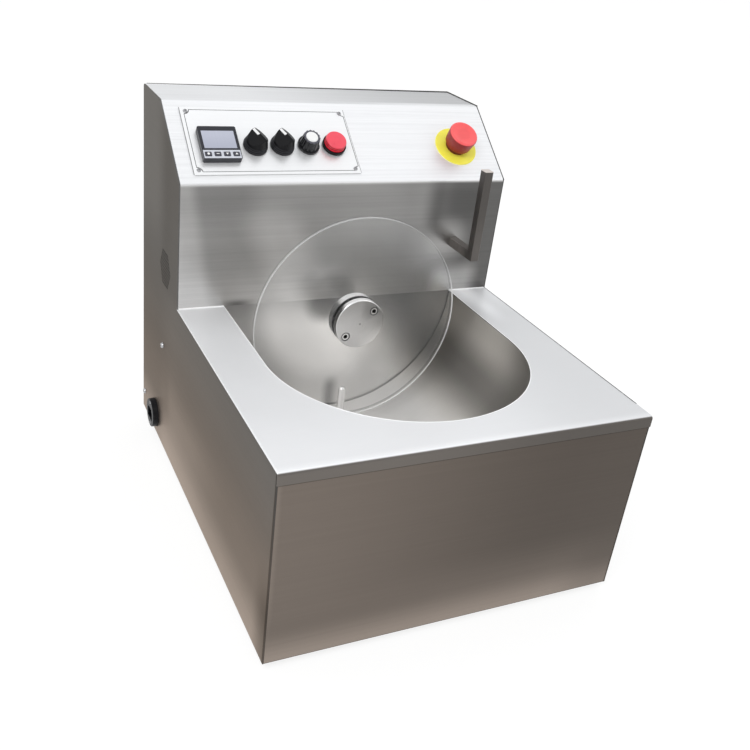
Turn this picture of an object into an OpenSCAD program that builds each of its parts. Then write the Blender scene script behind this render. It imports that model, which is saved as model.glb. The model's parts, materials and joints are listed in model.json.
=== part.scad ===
// Wheel-type chocolate melting tank: a steel cabinet with a heated bowl in its deck,
// a clear wheel turning in the bowl, and a control tower behind it.
// X is to the right, Y to the back and Z up. The origin is on the table, under the middle.

/* [Cabinet] */
// Width over the side panels
body_w = 450; // [430:1:500]
// Depth from the front lip to the back edge
body_d = 565; // [550:1:620]
// Height of the deck above the underside of the cabinet
deck_h = 241; // [235:1:270]
// Depth of the deck from its front lip to the tower face
deck_d = 377; // [365:1:385]
// Height of the tower top above the underside of the cabinet
tower_h = 477; // [465:1:510]
// Height at which the tower face turns into the slanted panel
kink_h = 401; // [380:1:410]
// Depth of the flat top of the tower
top_d = 89; // [60:1:100]
// Thickness of the steel sheet
sheet_t = 1.5; // [1:0.1:2]
// Outside radius of the sheet bends
bend_r = 4; // [3:0.5:6]
// Height of the lip folded down at the front of the deck
lip_h = 14; // [10:1:20]

/* [Feet] */
// Height of the rubber feet
foot_h = 10; // [6:1:20]
// Diameter of a foot where it meets the base plate
foot_d = 32; // [24:1:40]
// Distance of each foot from the sides and ends
foot_inset = 55; // [40:1:80]

/* [Tank] */
// Inside radius of the bowl
tank_r = 165; // [155:1:168]
// Wall of the bowl
tank_wall = 1.5; // [1:0.1:2.5]
// Length of the straight half-pipe between the tower face and the round end
tank_straight = 165; // [140:1:175]
// Width of the weld flange under the deck
tank_flange_w = 10; // [6:1:16]

/* [Wheel] */
// Radius of the clear disc
wheel_r = 142; // [125:1:146]
// Thickness of the clear disc
wheel_t = 6; // [4:0.5:8]
// Distance from the tower face to the back of the disc
wheel_gap = 48; // [44:1:60]
// Depth of the wheel axis below the deck surface
shaft_drop = 11; // [10:0.5:16]
// Diameter of the drive shaft
shaft_d = 16; // [12:0.5:17]
// Diameter of the two hub plates
hub_d = 68; // [60:1:80]
// Thickness of the front clamp plate
clamp_t = 8; // [7:0.5:12]
// Thickness of the back hub flange
hub_flange_t = 11; // [8:0.5:14]
// Distance between the two clamp screws
clamp_pitch = 50; // [44:1:54]

/* [Control panel] */
// Width of the control plate
plate_w = 218; // [210:1:230]
// Height of the control plate along the slope
plate_h = 101; // [90:1:110]
// Thickness of the control plate
plate_t = 1.2; // [0.8:0.1:2]
// Distance of the control plate from the left side panel
plate_margin = 18.5; // [12:0.5:25]
// Distance of the control plate from the bend below it
plate_rise = 12; // [8:0.5:16]
// Distance of the row of controls from the bend below it
control_rise = 54.5; // [52:0.5:58]
// Distance between neighbouring controls
control_pitch = 35; // [33:0.5:36]
// Distance of the first selector from the left edge of the plate
first_control = 85; // [82:0.5:90]
// Distance of the controller from the left edge of the plate
controller_inset = 38; // [36:0.5:42]
// Distance of the stop button from the right side panel
stop_margin = 57.5; // [45:0.5:70]

/* [Knobs and buttons] */
// Side of the square controller bezel
bezel_w = 48; // [46:0.5:50]
// Height of the controller bezel above the plate
bezel_h = 8; // [6:0.5:10]
// Diameter of the selector and lamp bases
base_d = 31; // [29:0.5:32]
// Diameter of the mounting neck of the panel controls
neck_d = 22; // [20:0.5:24]
// Length of the selector bar
bar_l = 23; // [20:0.5:26]
// Diameter of the yellow ring under the stop button
stop_ring_d = 60; // [50:1:70]
// Diameter of the stop button
stop_d = 40; // [36:1:44]
// Travel of the stop button
stop_travel = 5; // [3:0.5:6]
// Travel of a controller key
key_travel = 0.6; // [0.4:0.1:0.8]

/* [Holder and probe] */
// Side of the square bar of the scraper holder
holder_bar = 12; // [10:0.5:16]
// Height of the upright of the scraper holder
holder_h = 122; // [90:1:140]
// Reach of the scraper holder from the tower face
holder_reach = 63; // [50:1:80]
// Height of the holder arm above the deck
holder_rise = 68; // [50:1:90]
// Distance of the holder from the right side panel
holder_margin = 65.5; // [50:0.5:80]
// Diameter of the temperature probe
probe_d = 9.5; // [8:0.5:11]
// Length of the probe above the bowl
probe_l = 78.5; // [50:0.5:90]
// Distance of the probe from the tower face
probe_gap = 92; // [86:1:110]
// Distance of the probe from the middle, to the left
probe_side = 30; // [20:1:45]

/* [Vent and inlet] */
// Diameter of the round field of vent holes
vent_d = 54; // [45:1:57]
// Diameter of one vent hole
vent_hole_d = 3.2; // [2.5:0.1:3.6]
// Distance between neighbouring vent holes
vent_pitch = 5; // [4.6:0.1:6]
// Distance of the vent from the tower face
vent_back = 63; // [50:1:75]
// Height of the vent above the underside of the cabinet
vent_h = 270; // [250:1:290]
// Diameter of the round flange of the mains inlet
inlet_d = 42; // [41:0.5:46]
// Height of the inlet flange above the side panel
inlet_t = 8; // [6:0.5:10]
// Distance of the inlet from the back edge
inlet_back = 77; // [60:1:90]
// Height of the inlet above the underside of the cabinet
inlet_rise = 29.5; // [28:0.5:50]

/* [Hidden] */
$fn = 64;

// Overrun of every cut, the clearances, and the taper of a screw head
overrun = 1;
fit_gap = 0.1;
run_gap = 0.05;
seat_gap = 0.3;
cover_gap = 0.5;
head_taper_share = 0.8;

// Places of the main planes
y_front = -body_d / 2;
y_back = body_d / 2;
y_tower = y_front + deck_d;
y_wall = y_tower + max(sheet_t, tank_wall);
y_top = y_back - top_d;
z_body = foot_h;
z_deck = foot_h + deck_h;
z_kink = foot_h + kink_h;
z_top = foot_h + tower_h;
side_x = body_w / 2;
side_in = side_x - sheet_t;
z_panel_top = z_deck - bend_r;
rear_fold_h = 18;
bend_steps = 6;

// Slanted panel
slope_run = y_top - y_tower;
slope_rise = z_top - z_kink;
slope_a = atan2(slope_rise, slope_run);

// Tank and drive line
tank_y = y_tower - tank_straight;
shaft_r = shaft_d / 2;
shaft_z = z_deck - shaft_drop;
disc_back = y_tower - wheel_gap;
disc_front = disc_back - wheel_t;
clamp_front = disc_front - clamp_t;
hub_spigot_d = 26;
hub_boss_d = 32;
hub_boss_l = 16;
clamp_screw_d = 6;
clamp_head_d = 10;
clamp_head_h = 6;
clamp_socket_d = 5.8;
clamp_socket_deep = 3;
clamp_tilt = -42;
clamp_floor = 2;
clamp_reach = hub_flange_t - clamp_floor;
clamp_sink = 0.6;
clamp_bore_gap = 1;
clamp_edge = 1;
shaft_stop = 3;

// Drive behind the wall
housing_d = 66;
housing_rim = 6;
housing_neck_d = 42;
housing_l = 32;
bush_d = 26;
bush_l = 18;
seal_d = 30;
seal_l = 7;
gearbox_w = 70;
gearbox_l = 44;
gearbox_corner = 8;
shaft_in_gearbox = 22;
motor_d = 60;
motor_l = 78;
motor_rib_d = 2;
motor_ribs = 24;
motor_cap_l = 12;
motor_cap_d = 50;
drive_screw_d = 5;
drive_screw_pitch = 56;
drive_head_d = 8.5;
drive_head_h = 4;
drive_reach = 8;

// Screws of the cabinet
case_screw_d = 4;
case_head_d = 8;
case_head_h = 2.2;
case_screw_l = 8;
case_slot_w = 1;
cover_fold = 20;
cover_screw_rise = 28;
tray_gap = 14.5;
tray_back_gap = 40;
tray_clear = 13.5;
tray_fold = 20;
tray_lap = 2;
louvre_w = 70;
louvre_slot = 5;
louvre_pitch = 12;
louvre_rows = 6;
louvre_columns = 3;
louvre_gap = 18;
louvre_rise_share = 0.62;
base_slot_l = 60;
base_slot_w = 5;
base_slots = 7;
base_slot_pitch = 16;

// Rubber feet
foot_taper_share = 0.82;
foot_screw_d = 5;
foot_head_d = 10;
foot_head_h = 3;
foot_pocket = 4;
foot_pocket_gap = 1;
foot_screw_past = 2;
foot_screw_l = foot_h - foot_pocket + sheet_t + foot_screw_past;

// Control plate and what stands on it
plate_left = plate_margin - side_in;
plate_bottom = plate_rise;
plate_corner = 1.5;
plate_screw_inset = 7;
plate_screw_d = 3;
plate_head_d = 5.6;
plate_head_h = 1.6;
plate_screw_l = 6;
controller_x = plate_left + controller_inset;
controller_drop = 1;
controller_rise = control_rise - controller_drop;
bezel_lap = 1.75;
controller_body_w = bezel_w - 2 * bezel_lap;
controller_deep = 66;
clip_w = 6;
clip_l = 20;
window_inset = 3.6;
window_drop = 6.6;
window_h = 26;
window_t = 1.5;
strip_h = 12;
strip_inset = 0.8;
strip_t = 1;
strip_rise = 0.8;
bezel_round = 2;
key_count = 4;
key_w = 8;
key_h = 6;
key_round = 1;
key_proud = 0.9;
key_deep = 2.6;
key_gap = 0.15;

function control_x(i) = plate_left + first_control + i * control_pitch;

neck_r = neck_d / 2;
neck_l = 15;
hole_r = neck_r + fit_gap;
nut_d = 28;
nut_t = 4;
base_taper = 1.4;
base_steps = 3;
selector_base_h = 8;
knob_d = 27.5;
knob_skirt_h = 2;
bar_h = 13;
bar_top_w = 5.5;
stem_d = 12;
block_w = 26;
block_l = 34;
selector_turn = 30;
pot_bush_d = 9.5;
pot_shaft_d = 6;
pot_d = 25;
pot_l = 16;
pot_nut_d = 14;
pot_nut_t = 2.4;
pot_nut_gap = 1.2;
speed_skirt_d = 28.5;
speed_skirt_h = 3;
speed_body_d = 26;
speed_top_d = 21.5;
speed_h = 18;
speed_lean = atan((speed_body_d - speed_top_d) / 2 / speed_h);
speed_flutes = 14;
speed_flute_d = 3.6;
speed_flute_out = 0.9;
speed_flute_rise = 1;
speed_cap_d = 16;
speed_cap_t = 1.2;
lamp_base_h = 5;
lamp_lens_d = 28;
lamp_lens_h = 8;
lamp_round = 1.2;
lamp_taper = 0.8;
lamp_rings = 3;
lamp_ring_pitch = 1.8;
lamp_ring_w = 0.6;
lamp_ring_deep = 0.5;
stop_x = side_in - stop_margin;
stop_ring_t = 1.2;
stop_collar_d = 30;
stop_collar_h = 5.5;
stop_lift = 7.5;
stop_head_h = 20;
stop_round = 3;
stop_taper = 1.5;
stop_cup_gap = 1.5;
stop_cup_d = stop_collar_d + 2 * stop_cup_gap;
stop_cup_h = 8;
stop_stem_d = 11;
stop_spigot_d = 8;
stop_spigot_l = 6;

// Scraper holder
holder_x = side_in - holder_margin;
holder_z = z_deck + holder_rise;

// Probe
probe_y = y_tower - probe_gap;
probe_r = probe_d / 2;
probe_floor = z_deck - sqrt(tank_r * tank_r - probe_side * probe_side);
probe_tail = 26;
gland_d = 18;
gland_l = 14;

// Heater under the bowl
heater_t = 3;
heater_margin = 14;
heater_spread = 62;

// Fan behind the vent
fan_w = 60;
fan_t = 25;
fan_bore_d = 57;
fan_corner = 4;
fan_hub_d = 24;
fan_hub_t = 17;
fan_motor_t = 5;
fan_strut_w = 4;
fan_blades = 7;
fan_blade_t = 1.6;
fan_blade_w = 15;
fan_blade_gap = 2.5;
fan_pitch_a = 38;
fan_pin_d = 3;
fan_pin_l = 3;
vent_y = y_tower + vent_back;
vent_z = z_body + vent_h;
fan_y = min(vent_y, y_back - cover_fold - cover_gap - fan_w / 2);

// Mains inlet
inlet_y = y_back - inlet_back;
inlet_z = z_body + inlet_rise;
inlet_taper = 0.5;
inlet_edge = 0.8;
inlet_body_w = 30;
inlet_body_h = 24;
inlet_body_l = 20;
inlet_socket_w = 24.5;
inlet_socket_h = 17;
inlet_socket_deep = 17;
inlet_socket_cut = 5;
inlet_pin_w = 4;
inlet_pin_t = 2;
inlet_pin_l = 11;
inlet_pin_pitch = 7;
inlet_pin_lift = 2;
inlet_screw_inset = 4.5;
inlet_screw_pitch = inlet_d - 2 * inlet_screw_inset;
inlet_screw_d = 3.5;
inlet_head_d = 5.5;
inlet_head_h = 2;
inlet_screw_l = 12;

// Electrical parts on the tray
driver_w = 92;
driver_d = 64;
driver_h = 34;
driver_ribs = 8;
driver_rib_w = 3;
driver_rib_h = 4;
relay_w = 45;
relay_d = 58;
relay_h = 26;
relay_sink_t = 6;
relay_sink_lap = 6;
terminal_w = 72;
terminal_d = 26;
terminal_h = 20;
terminal_ways = 8;
terminal_screw_d = 5;
terminal_step = 6;
terminal_screw_share = 0.375;
tray_part_gap = 16;
tray_front = y_wall + tray_gap;
tray_d = y_back - cover_fold - tray_back_gap - tray_front;
tray_y = tray_front + tray_d / 2;
tray_z = shaft_z - gearbox_w / 2 - tray_clear - driver_h - sheet_t;
tray_screw_z = tray_z + tray_fold / 2;

steel = "lightsteelblue";
black = [0.1, 0.1, 0.11];

// Path helpers
function unit(v) = v / norm(v);
function left_of(v) = [-v[1], v[0]];
function turned(v, a) = [v[0] * cos(a) - v[1] * sin(a), v[0] * sin(a) + v[1] * cos(a)];
function turn(u, v) = atan2(u[0] * v[1] - u[1] * v[0], u * v);
function bend(a, p, b, r) =
    let (
        u = unit(p - a),
        v = unit(b - p),
        f = turn(u, v),
        arm = sign(f) * r * left_of(u),
        centre = p - u * r * tan(abs(f) / 2) + arm
    )
    [for (i = [0 : bend_steps]) centre - turned(arm, f * i / bend_steps)];
function rounded_path(pts, r) =
    let (last = len(pts) - 1)
    concat(
        [pts[0]],
        [for (i = [1 : last - 1]) each bend(pts[i - 1], pts[i], pts[i + 1], r)],
        [pts[last]]
    );
function shifted_path(pts, d) =
    let (
        last = len(pts) - 1,
        n = [for (i = [0 : last - 1]) left_of(unit(pts[i + 1] - pts[i]))]
    )
    [for (i = [0 : last])
        i == 0 ? pts[0] + d * n[0]
        : i == last ? pts[last] + d * n[last - 1]
        : pts[i] + d * (n[i - 1] + n[i]) / (1 + n[i - 1] * n[i])];
function backwards(pts) = [for (i = [len(pts) - 1 : -1 : 0]) pts[i]];

// Outline of the tower from the foot of its face over the top to its rear fold
function tower_path(foot_z, end_z) = [
    [y_tower, foot_z],
    [y_tower, z_kink],
    [y_top, z_top],
    [y_back, z_top],
    [y_back, end_z]
];

// Extrudes a profile drawn in Y and Z over a width centred on the middle plane
module across(w) {
    rotate([90, 0, 90]) linear_extrude(w, center = true) children();
}

// Places children on the slanted panel: X to the right, Y up the slope, Z outwards
module on_panel(x, s, lift = 0) {
    translate([x, y_tower, z_kink]) rotate([slope_a, 0, 0]) translate([0, s, lift]) children();
}

// Places children on the left side panel: X to the front, Y up, Z outwards
module on_left(y, z, lift = 0) {
    translate([-side_x, y, z]) rotate([90, 0, -90]) translate([0, 0, lift]) children();
}

// Places children on both side panels
module on_sides(y, z) {
    on_left(y, z) children();
    mirror([1, 0, 0]) on_left(y, z) children();
}

// Places children on the wheel axis, Z to the back
module on_shaft(y) {
    translate([0, y, shaft_z]) rotate([-90, 0, 0]) children();
}

// Places children at the two clamp screws
module at_clamps() {
    for (side = [0, 180]) rotate(side + clamp_tilt) translate([clamp_pitch / 2, 0, 0]) children();
}

// Places children at the corners of a rectangle
module at_corners(w, h) {
    for (x = [-w, w] / 2, y = [-h, h] / 2) translate([x, y, 0]) children();
}

// Rectangle with rounded corners, centred
module round_rect(w, h, r) {
    square([w - 2 * r, h], center = true);
    square([w, h - 2 * r], center = true);
    at_corners(w - 2 * r, h - 2 * r) circle(r);
}

// Ring standing on Z zero
module ring(outer_d, inner_d, h) {
    difference() {
        cylinder(d = outer_d, h = h);
        translate([0, 0, -overrun]) cylinder(d = inner_d, h = h + 2 * overrun);
    }
}

// Screw with its seat at Z zero, the head above and the shank below
module pan_screw(shank_d, shank_l, head_d, head_h, slot_w) {
    translate([0, 0, -shank_l]) cylinder(d = shank_d, h = shank_l + head_h / 2);
    difference() {
        cylinder(d1 = head_d, d2 = head_d * head_taper_share, h = head_h);
        for (a = [0, 90]) rotate(a)
            translate([0, 0, head_h]) cube([head_d / 2, slot_w, head_h], center = true);
    }
}

// Opening of the bowl in the deck, seen from above, wider by grow
module tank_outline(grow) {
    reach = tank_r + grow;
    intersection() {
        union() {
            translate([0, tank_y]) circle(reach, $fn = 128);
            translate([-reach, tank_y]) square([2 * reach, y_wall - tank_y]);
        }
        translate([-reach, tank_y - reach]) square([2 * reach, y_wall - tank_y + reach]);
    }
}

// Inside or outside form of the bowl, lying below the deck
module tank_form(r, back) {
    translate([0, tank_y, z_deck]) {
        rotate([-90, 0, 0]) cylinder(r = r, h = back - tank_y, $fn = 128);
        intersection() {
            sphere(r, $fn = 128);
            translate([-2 * r, -2 * r, -2 * r]) cube([4 * r, 2 * r, 4 * r]);
        }
    }
}

// Cross-section of the deck in Y and Z with its front lip, or with a shrink the space under it
module deck_section(shrink) {
    r = bend_r - shrink;
    front = y_front + shrink;
    past = shrink > 0 ? overrun : 0;
    low = z_deck - lip_h - past;
    high = z_deck - shrink;
    translate([front, low]) square([y_tower + past - front, high - low - r]);
    translate([front + r, low]) square([y_tower + past - front - r, high - low]);
    translate([front + r, high - r]) circle(r);
}

module side_outline() {
    front = y_front + sheet_t;
    top = z_deck - sheet_t;
    polygon(concat(
        [[front, z_body]],
        bend([front, z_body], [front, top], [y_tower, top], bend_r - sheet_t),
        rounded_path(tower_path(top, z_body), bend_r)
    ));
}

module side_panel() {
    difference() {
        translate([-side_x, 0, 0]) rotate([90, 0, 90]) linear_extrude(sheet_t) side_outline();
        for (p = [[y_back - cover_fold / 2, z_body + cover_screw_rise], [tray_y, tray_screw_z]])
            on_left(p[0], p[1], -sheet_t - overrun)
                cylinder(d = case_screw_d + 2 * fit_gap, h = sheet_t + 2 * overrun);
    }
}

module vent_holes() {
    row_h = vent_pitch * sin(60);
    rows = floor(vent_d / 2 / row_h);
    for (j = [-rows : rows], i = [-rows - 1 : rows + 1]) {
        at = [(i + (j % 2 == 0 ? 0 : 0.5)) * vent_pitch, j * row_h];
        if (norm(at) <= (vent_d - vent_hole_d) / 2)
            translate([at[0], at[1], -sheet_t - overrun])
                cylinder(d = vent_hole_d, h = sheet_t + 2 * overrun, $fn = 16);
    }
}

module side_panel_left() {
    color(steel) difference() {
        side_panel();
        on_left(vent_y, vent_z) vent_holes();
        on_left(inlet_y, inlet_z, -sheet_t - overrun) {
            linear_extrude(sheet_t + 2 * overrun)
                square([inlet_body_w, inlet_body_h] + 2 * fit_gap * [1, 1], center = true);
            for (s = [-1, 1]) translate([0, s * inlet_screw_pitch / 2, 0])
                cylinder(d = inlet_screw_d + 2 * fit_gap, h = sheet_t + 2 * overrun);
        }
    }
}

module side_panel_right() {
    color(steel) mirror([1, 0, 0]) side_panel();
}

module front_panel() {
    color(steel) translate([-side_in, y_front + sheet_t, z_body])
        cube([2 * side_in, sheet_t, z_panel_top - z_body]);
}

module deck_pan() {
    color(steel) difference() {
        union() {
            across(body_w) difference() {
                deck_section(0);
                deck_section(sheet_t);
            }
            translate([-side_in, y_tower - sheet_t, z_deck - sheet_t])
                cube([2 * side_in, sheet_t + y_wall - y_tower, sheet_t]);
        }
        translate([0, 0, z_deck - lip_h]) linear_extrude(lip_h + overrun) union() {
            tank_outline(0);
            translate([-tank_r, y_wall - overrun]) square([2 * tank_r, 2 * overrun]);
        }
    }
}

module tank_bowl() {
    rim_z = z_deck - sheet_t;
    color(steel) difference() {
        union() {
            intersection() {
                tank_form(tank_r + tank_wall, y_tower + tank_wall);
                translate([-body_w / 2, y_front, 0]) cube([body_w, body_d, rim_z]);
            }
            translate([0, 0, rim_z - tank_wall]) linear_extrude(tank_wall)
                tank_outline(tank_flange_w);
            translate([-tank_r, y_tower, rim_z - tank_wall])
                cube([2 * tank_r, tank_wall, z_deck - rim_z + tank_wall]);
        }
        tank_form(tank_r, y_tower);
        on_shaft(y_tower - overrun)
            cylinder(r = shaft_r + seat_gap, h = tank_wall + 2 * overrun);
        translate([-probe_side, probe_y, z_body])
            cylinder(r = probe_r + fit_gap, h = z_deck - z_body);
    }
}

module tower_sheet() {
    outer = tower_path(z_deck, z_top - rear_fold_h);
    skin = concat(
        rounded_path(outer, bend_r),
        backwards(rounded_path(shifted_path(outer, -sheet_t), bend_r - sheet_t))
    );
    color(steel) difference() {
        across(2 * side_in) polygon(skin);
        panel_cuts(-sheet_t - overrun, sheet_t + 2 * overrun);
        on_panel(stop_x, control_rise, -sheet_t - overrun)
            cylinder(r = hole_r, h = sheet_t + 2 * overrun);
    }
}

// Holes that the control plate and the sheet behind it share
module panel_cuts(from, h) {
    on_panel(controller_x, controller_rise, from) linear_extrude(h)
        square(controller_body_w + 2 * fit_gap, center = true);
    for (i = [0, 1, 3]) on_panel(control_x(i), control_rise, from) cylinder(r = hole_r, h = h);
    on_panel(control_x(2), control_rise, from) cylinder(d = pot_bush_d + 2 * fit_gap, h = h);
    at_plate_screws(from) cylinder(d = plate_screw_d + 2 * fit_gap, h = h);
}

module at_plate_screws(lift) {
    on_panel(plate_left + plate_w / 2, plate_bottom + plate_h / 2, lift)
        at_corners(plate_w - 2 * plate_screw_inset, plate_h - 2 * plate_screw_inset) children();
}

module rear_cover() {
    cover_top = z_top - rear_fold_h - cover_gap;
    half = side_in - cover_gap;
    color(steel) difference() {
        union() {
            translate([-half, y_back - sheet_t, z_body])
                cube([2 * half, sheet_t, cover_top - z_body]);
            for (x = [-half, half - sheet_t])
                translate([x, y_back - cover_fold, z_body + sheet_t])
                    cube([sheet_t, cover_fold, cover_top - z_body - rear_fold_h]);
            translate([-half + cover_fold, y_back - 2 * sheet_t, cover_top - rear_fold_h])
                cube([2 * (half - cover_fold), sheet_t, rear_fold_h + rear_fold_h / 2]);
        }
        for (i = [1 : louvre_columns], j = [1 : louvre_rows])
            translate([
                (i - (louvre_columns + 1) / 2) * (louvre_w + louvre_gap),
                y_back,
                z_body + (cover_top - z_body) * louvre_rise_share + (j - louvre_rows / 2) * louvre_pitch
            ])
            rotate([90, 0, 0]) linear_extrude(2 * sheet_t + overrun, center = true)
                round_rect(louvre_w, louvre_slot, louvre_slot / 2 - fit_gap);
        on_sides(y_back - cover_fold / 2, z_body + cover_screw_rise)
            translate([0, 0, -2 * cover_fold])
                cylinder(d = case_screw_d + 2 * fit_gap, h = 2 * cover_fold);
    }
}

module at_feet() {
    translate([0, 0, z_body]) at_corners(body_w - 2 * foot_inset, body_d - 2 * foot_inset) children();
}

module base_plate() {
    color(steel) difference() {
        translate([-side_in, y_front + 2 * sheet_t, z_body])
            cube([2 * side_in, body_d - 3 * sheet_t, sheet_t]);
        at_feet() translate([0, 0, -overrun])
            cylinder(d = foot_screw_d + 2 * fit_gap, h = sheet_t + 2 * overrun);
        for (i = [1 : base_slots], s = [-1, 1])
            translate([s * (base_slot_l + foot_d), tray_y + (i - (base_slots + 1) / 2) * base_slot_pitch, 0])
                linear_extrude(z_body + sheet_t + overrun)
                    round_rect(base_slot_l, base_slot_w, base_slot_w / 2 - fit_gap);
    }
}

module feet() {
    color(black) at_feet() difference() {
        translate([0, 0, -foot_h]) cylinder(d1 = foot_d * foot_taper_share, d2 = foot_d, h = foot_h);
        translate([0, 0, -foot_h - overrun])
            cylinder(d = foot_head_d + 2 * foot_pocket_gap, h = foot_pocket + overrun);
        translate([0, 0, -foot_h]) cylinder(d = foot_screw_d + 2 * fit_gap, h = foot_h + overrun);
    }
}

module foot_screws() {
    color("silver") at_feet() translate([0, 0, foot_pocket - foot_h]) rotate([180, 0, 0])
        pan_screw(foot_screw_d, foot_screw_l, foot_head_d, foot_head_h, case_slot_w);
}

module case_screws() {
    color("silver") {
        on_sides(y_back - cover_fold / 2, z_body + cover_screw_rise) case_screw();
        on_sides(tray_y, tray_screw_z) case_screw();
    }
}

module case_screw() {
    pan_screw(case_screw_d, case_screw_l, case_head_d, case_head_h, case_slot_w);
}

module electrics_tray() {
    half = side_in - cover_gap;
    color("gainsboro") difference() {
        translate([-half, tray_front, tray_z]) union() {
            cube([2 * half, tray_d, sheet_t]);
            for (x = [0, 2 * half - sheet_t]) translate([x, 0, 0]) cube([sheet_t, tray_d, tray_fold]);
        }
        on_sides(tray_y, tray_screw_z) translate([0, 0, -tray_fold])
            cylinder(d = case_screw_d + 2 * fit_gap, h = tray_fold);
    }
}

module control_plate() {
    color("gainsboro") difference() {
        on_panel(plate_left + plate_w / 2, plate_bottom + plate_h / 2)
            linear_extrude(plate_t) round_rect(plate_w, plate_h, plate_corner);
        panel_cuts(-overrun, plate_t + 2 * overrun);
    }
}

module plate_screws() {
    color("silver") at_plate_screws(plate_t)
        pan_screw(plate_screw_d, plate_screw_l, plate_head_d, plate_head_h, case_slot_w);
}

// Places children on the front of the controller bezel
module on_bezel() {
    on_panel(controller_x, controller_rise, plate_t + bezel_h) children();
}

// Places children at the middle of the key strip, and of one key
module on_strip() {
    on_bezel() translate([0, strip_rise + strip_h / 2 - bezel_w / 2, 0]) children();
}

module at_key(i) {
    step = (bezel_w - 2 * strip_inset) / key_count;
    on_strip() translate([(i - (key_count - 1) / 2) * step, 0, 0]) children();
}

module controller_case() {
    color(black) difference() {
        on_panel(controller_x, controller_rise, plate_t) {
            linear_extrude(bezel_h) round_rect(bezel_w, bezel_w, bezel_round);
            translate([0, 0, -controller_deep]) linear_extrude(controller_deep + bezel_h / 2)
                square(controller_body_w, center = true);
        }
        on_bezel() translate([0, bezel_w / 2 - window_drop - window_h / 2, -window_t])
            linear_extrude(window_t + overrun) square([bezel_w - 2 * window_inset, window_h], center = true);
        on_strip() translate([0, 0, -strip_t])
            linear_extrude(strip_t + overrun) square([bezel_w - 2 * strip_inset, strip_h], center = true);
        for (i = [0 : key_count - 1]) at_key(i)
            translate([0, 0, -strip_t - key_deep - key_travel - seat_gap]) linear_extrude(key_deep + overrun)
                square([key_w, key_h] + 2 * key_gap * [1, 1], center = true);
    }
}

module controller_clip() {
    color("dimgray") on_panel(controller_x, controller_rise, -sheet_t - clip_l)
        linear_extrude(clip_l) difference() {
            square(controller_body_w + 2 * clip_w, center = true);
            square(controller_body_w + 2 * fit_gap, center = true);
        }
}

module display_window() {
    color("slategray") on_bezel() translate([0, bezel_w / 2 - window_drop - window_h / 2, -window_t])
        linear_extrude(window_t)
            square([bezel_w - 2 * window_inset, window_h] - 2 * fit_gap * [1, 1], center = true);
}

module key_strip() {
    color("silver") difference() {
        on_strip() translate([0, 0, -strip_t]) linear_extrude(strip_t)
            square([bezel_w - 2 * strip_inset, strip_h] - 2 * fit_gap * [1, 1], center = true);
        for (i = [0 : key_count - 1]) at_key(i) translate([0, 0, -strip_t - overrun])
            linear_extrude(strip_t + 2 * overrun)
                square([key_w, key_h] + 2 * key_gap * [1, 1], center = true);
    }
}

module key(i) {
    color("dimgray") at_key(i) translate([0, 0, -strip_t - key_deep])
        linear_extrude(key_deep + strip_t + key_proud) round_rect(key_w, key_h, key_round);
}

module key_1() { key(0); }
module key_2() { key(1); }
module key_3() { key(2); }
module key_4() { key(3); }

// Base with its mounting neck, standing on the plate
module control_base(h) {
    for (i = [0 : base_steps - 1])
        cylinder(d = base_d - 2 * base_taper * i / (base_steps - 1), h = h * (i + 1) / base_steps);
    translate([0, 0, -neck_l]) cylinder(d = neck_d, h = neck_l + h / 2);
}

module selector_bezels() {
    color(black) for (i = [0, 1]) on_panel(control_x(i), control_rise, plate_t) difference() {
        control_base(selector_base_h);
        translate([0, 0, -neck_l - overrun])
            cylinder(d = stem_d + 2 * run_gap, h = neck_l + selector_base_h + 2 * overrun);
    }
}

module contact_block() {
    translate([0, 0, -neck_l - block_l]) linear_extrude(block_l) square(block_w, center = true);
}

module selector_blocks() {
    color("darkslategray") for (i = [0, 1]) on_panel(control_x(i), control_rise, plate_t) contact_block();
}

module selector_knob(i) {
    foot = knob_d / 2 + overrun;
    lean = (foot - bar_top_w / 2) / (bar_h - knob_skirt_h);
    crest = bar_top_w / 2 - lean * overrun;
    gable = [
        [-foot, -overrun],
        [foot, -overrun],
        [foot, knob_skirt_h],
        [crest, bar_h + overrun],
        [-crest, bar_h + overrun],
        [-foot, knob_skirt_h]
    ];
    color(black) on_panel(control_x(i), control_rise, plate_t + selector_base_h + seat_gap) {
        intersection() {
            cylinder(d1 = knob_d, d2 = bar_l, h = bar_h);
            rotate([90, 0, selector_turn]) linear_extrude(2 * foot, center = true) polygon(gable);
        }
        translate([0, 0, -selector_base_h - neck_l + stem_d / 2])
            cylinder(d = stem_d, h = selector_base_h + neck_l - stem_d / 2 + knob_skirt_h / 2);
    }
}

module selector_knob_1() { selector_knob(0); }
module selector_knob_2() { selector_knob(1); }

module speed_pot() {
    color("dimgray") on_panel(control_x(2), control_rise) difference() {
        union() {
            translate([0, 0, -sheet_t - pot_l]) cylinder(d = pot_d, h = pot_l);
            translate([0, 0, -sheet_t - pot_l / 2])
                cylinder(d = pot_bush_d, h = pot_l / 2 + sheet_t + plate_t + pot_nut_t);
        }
        translate([0, 0, -sheet_t - pot_l / 2])
            cylinder(d = pot_shaft_d + 2 * run_gap, h = pot_l + sheet_t + plate_t + pot_nut_t);
    }
}

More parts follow.
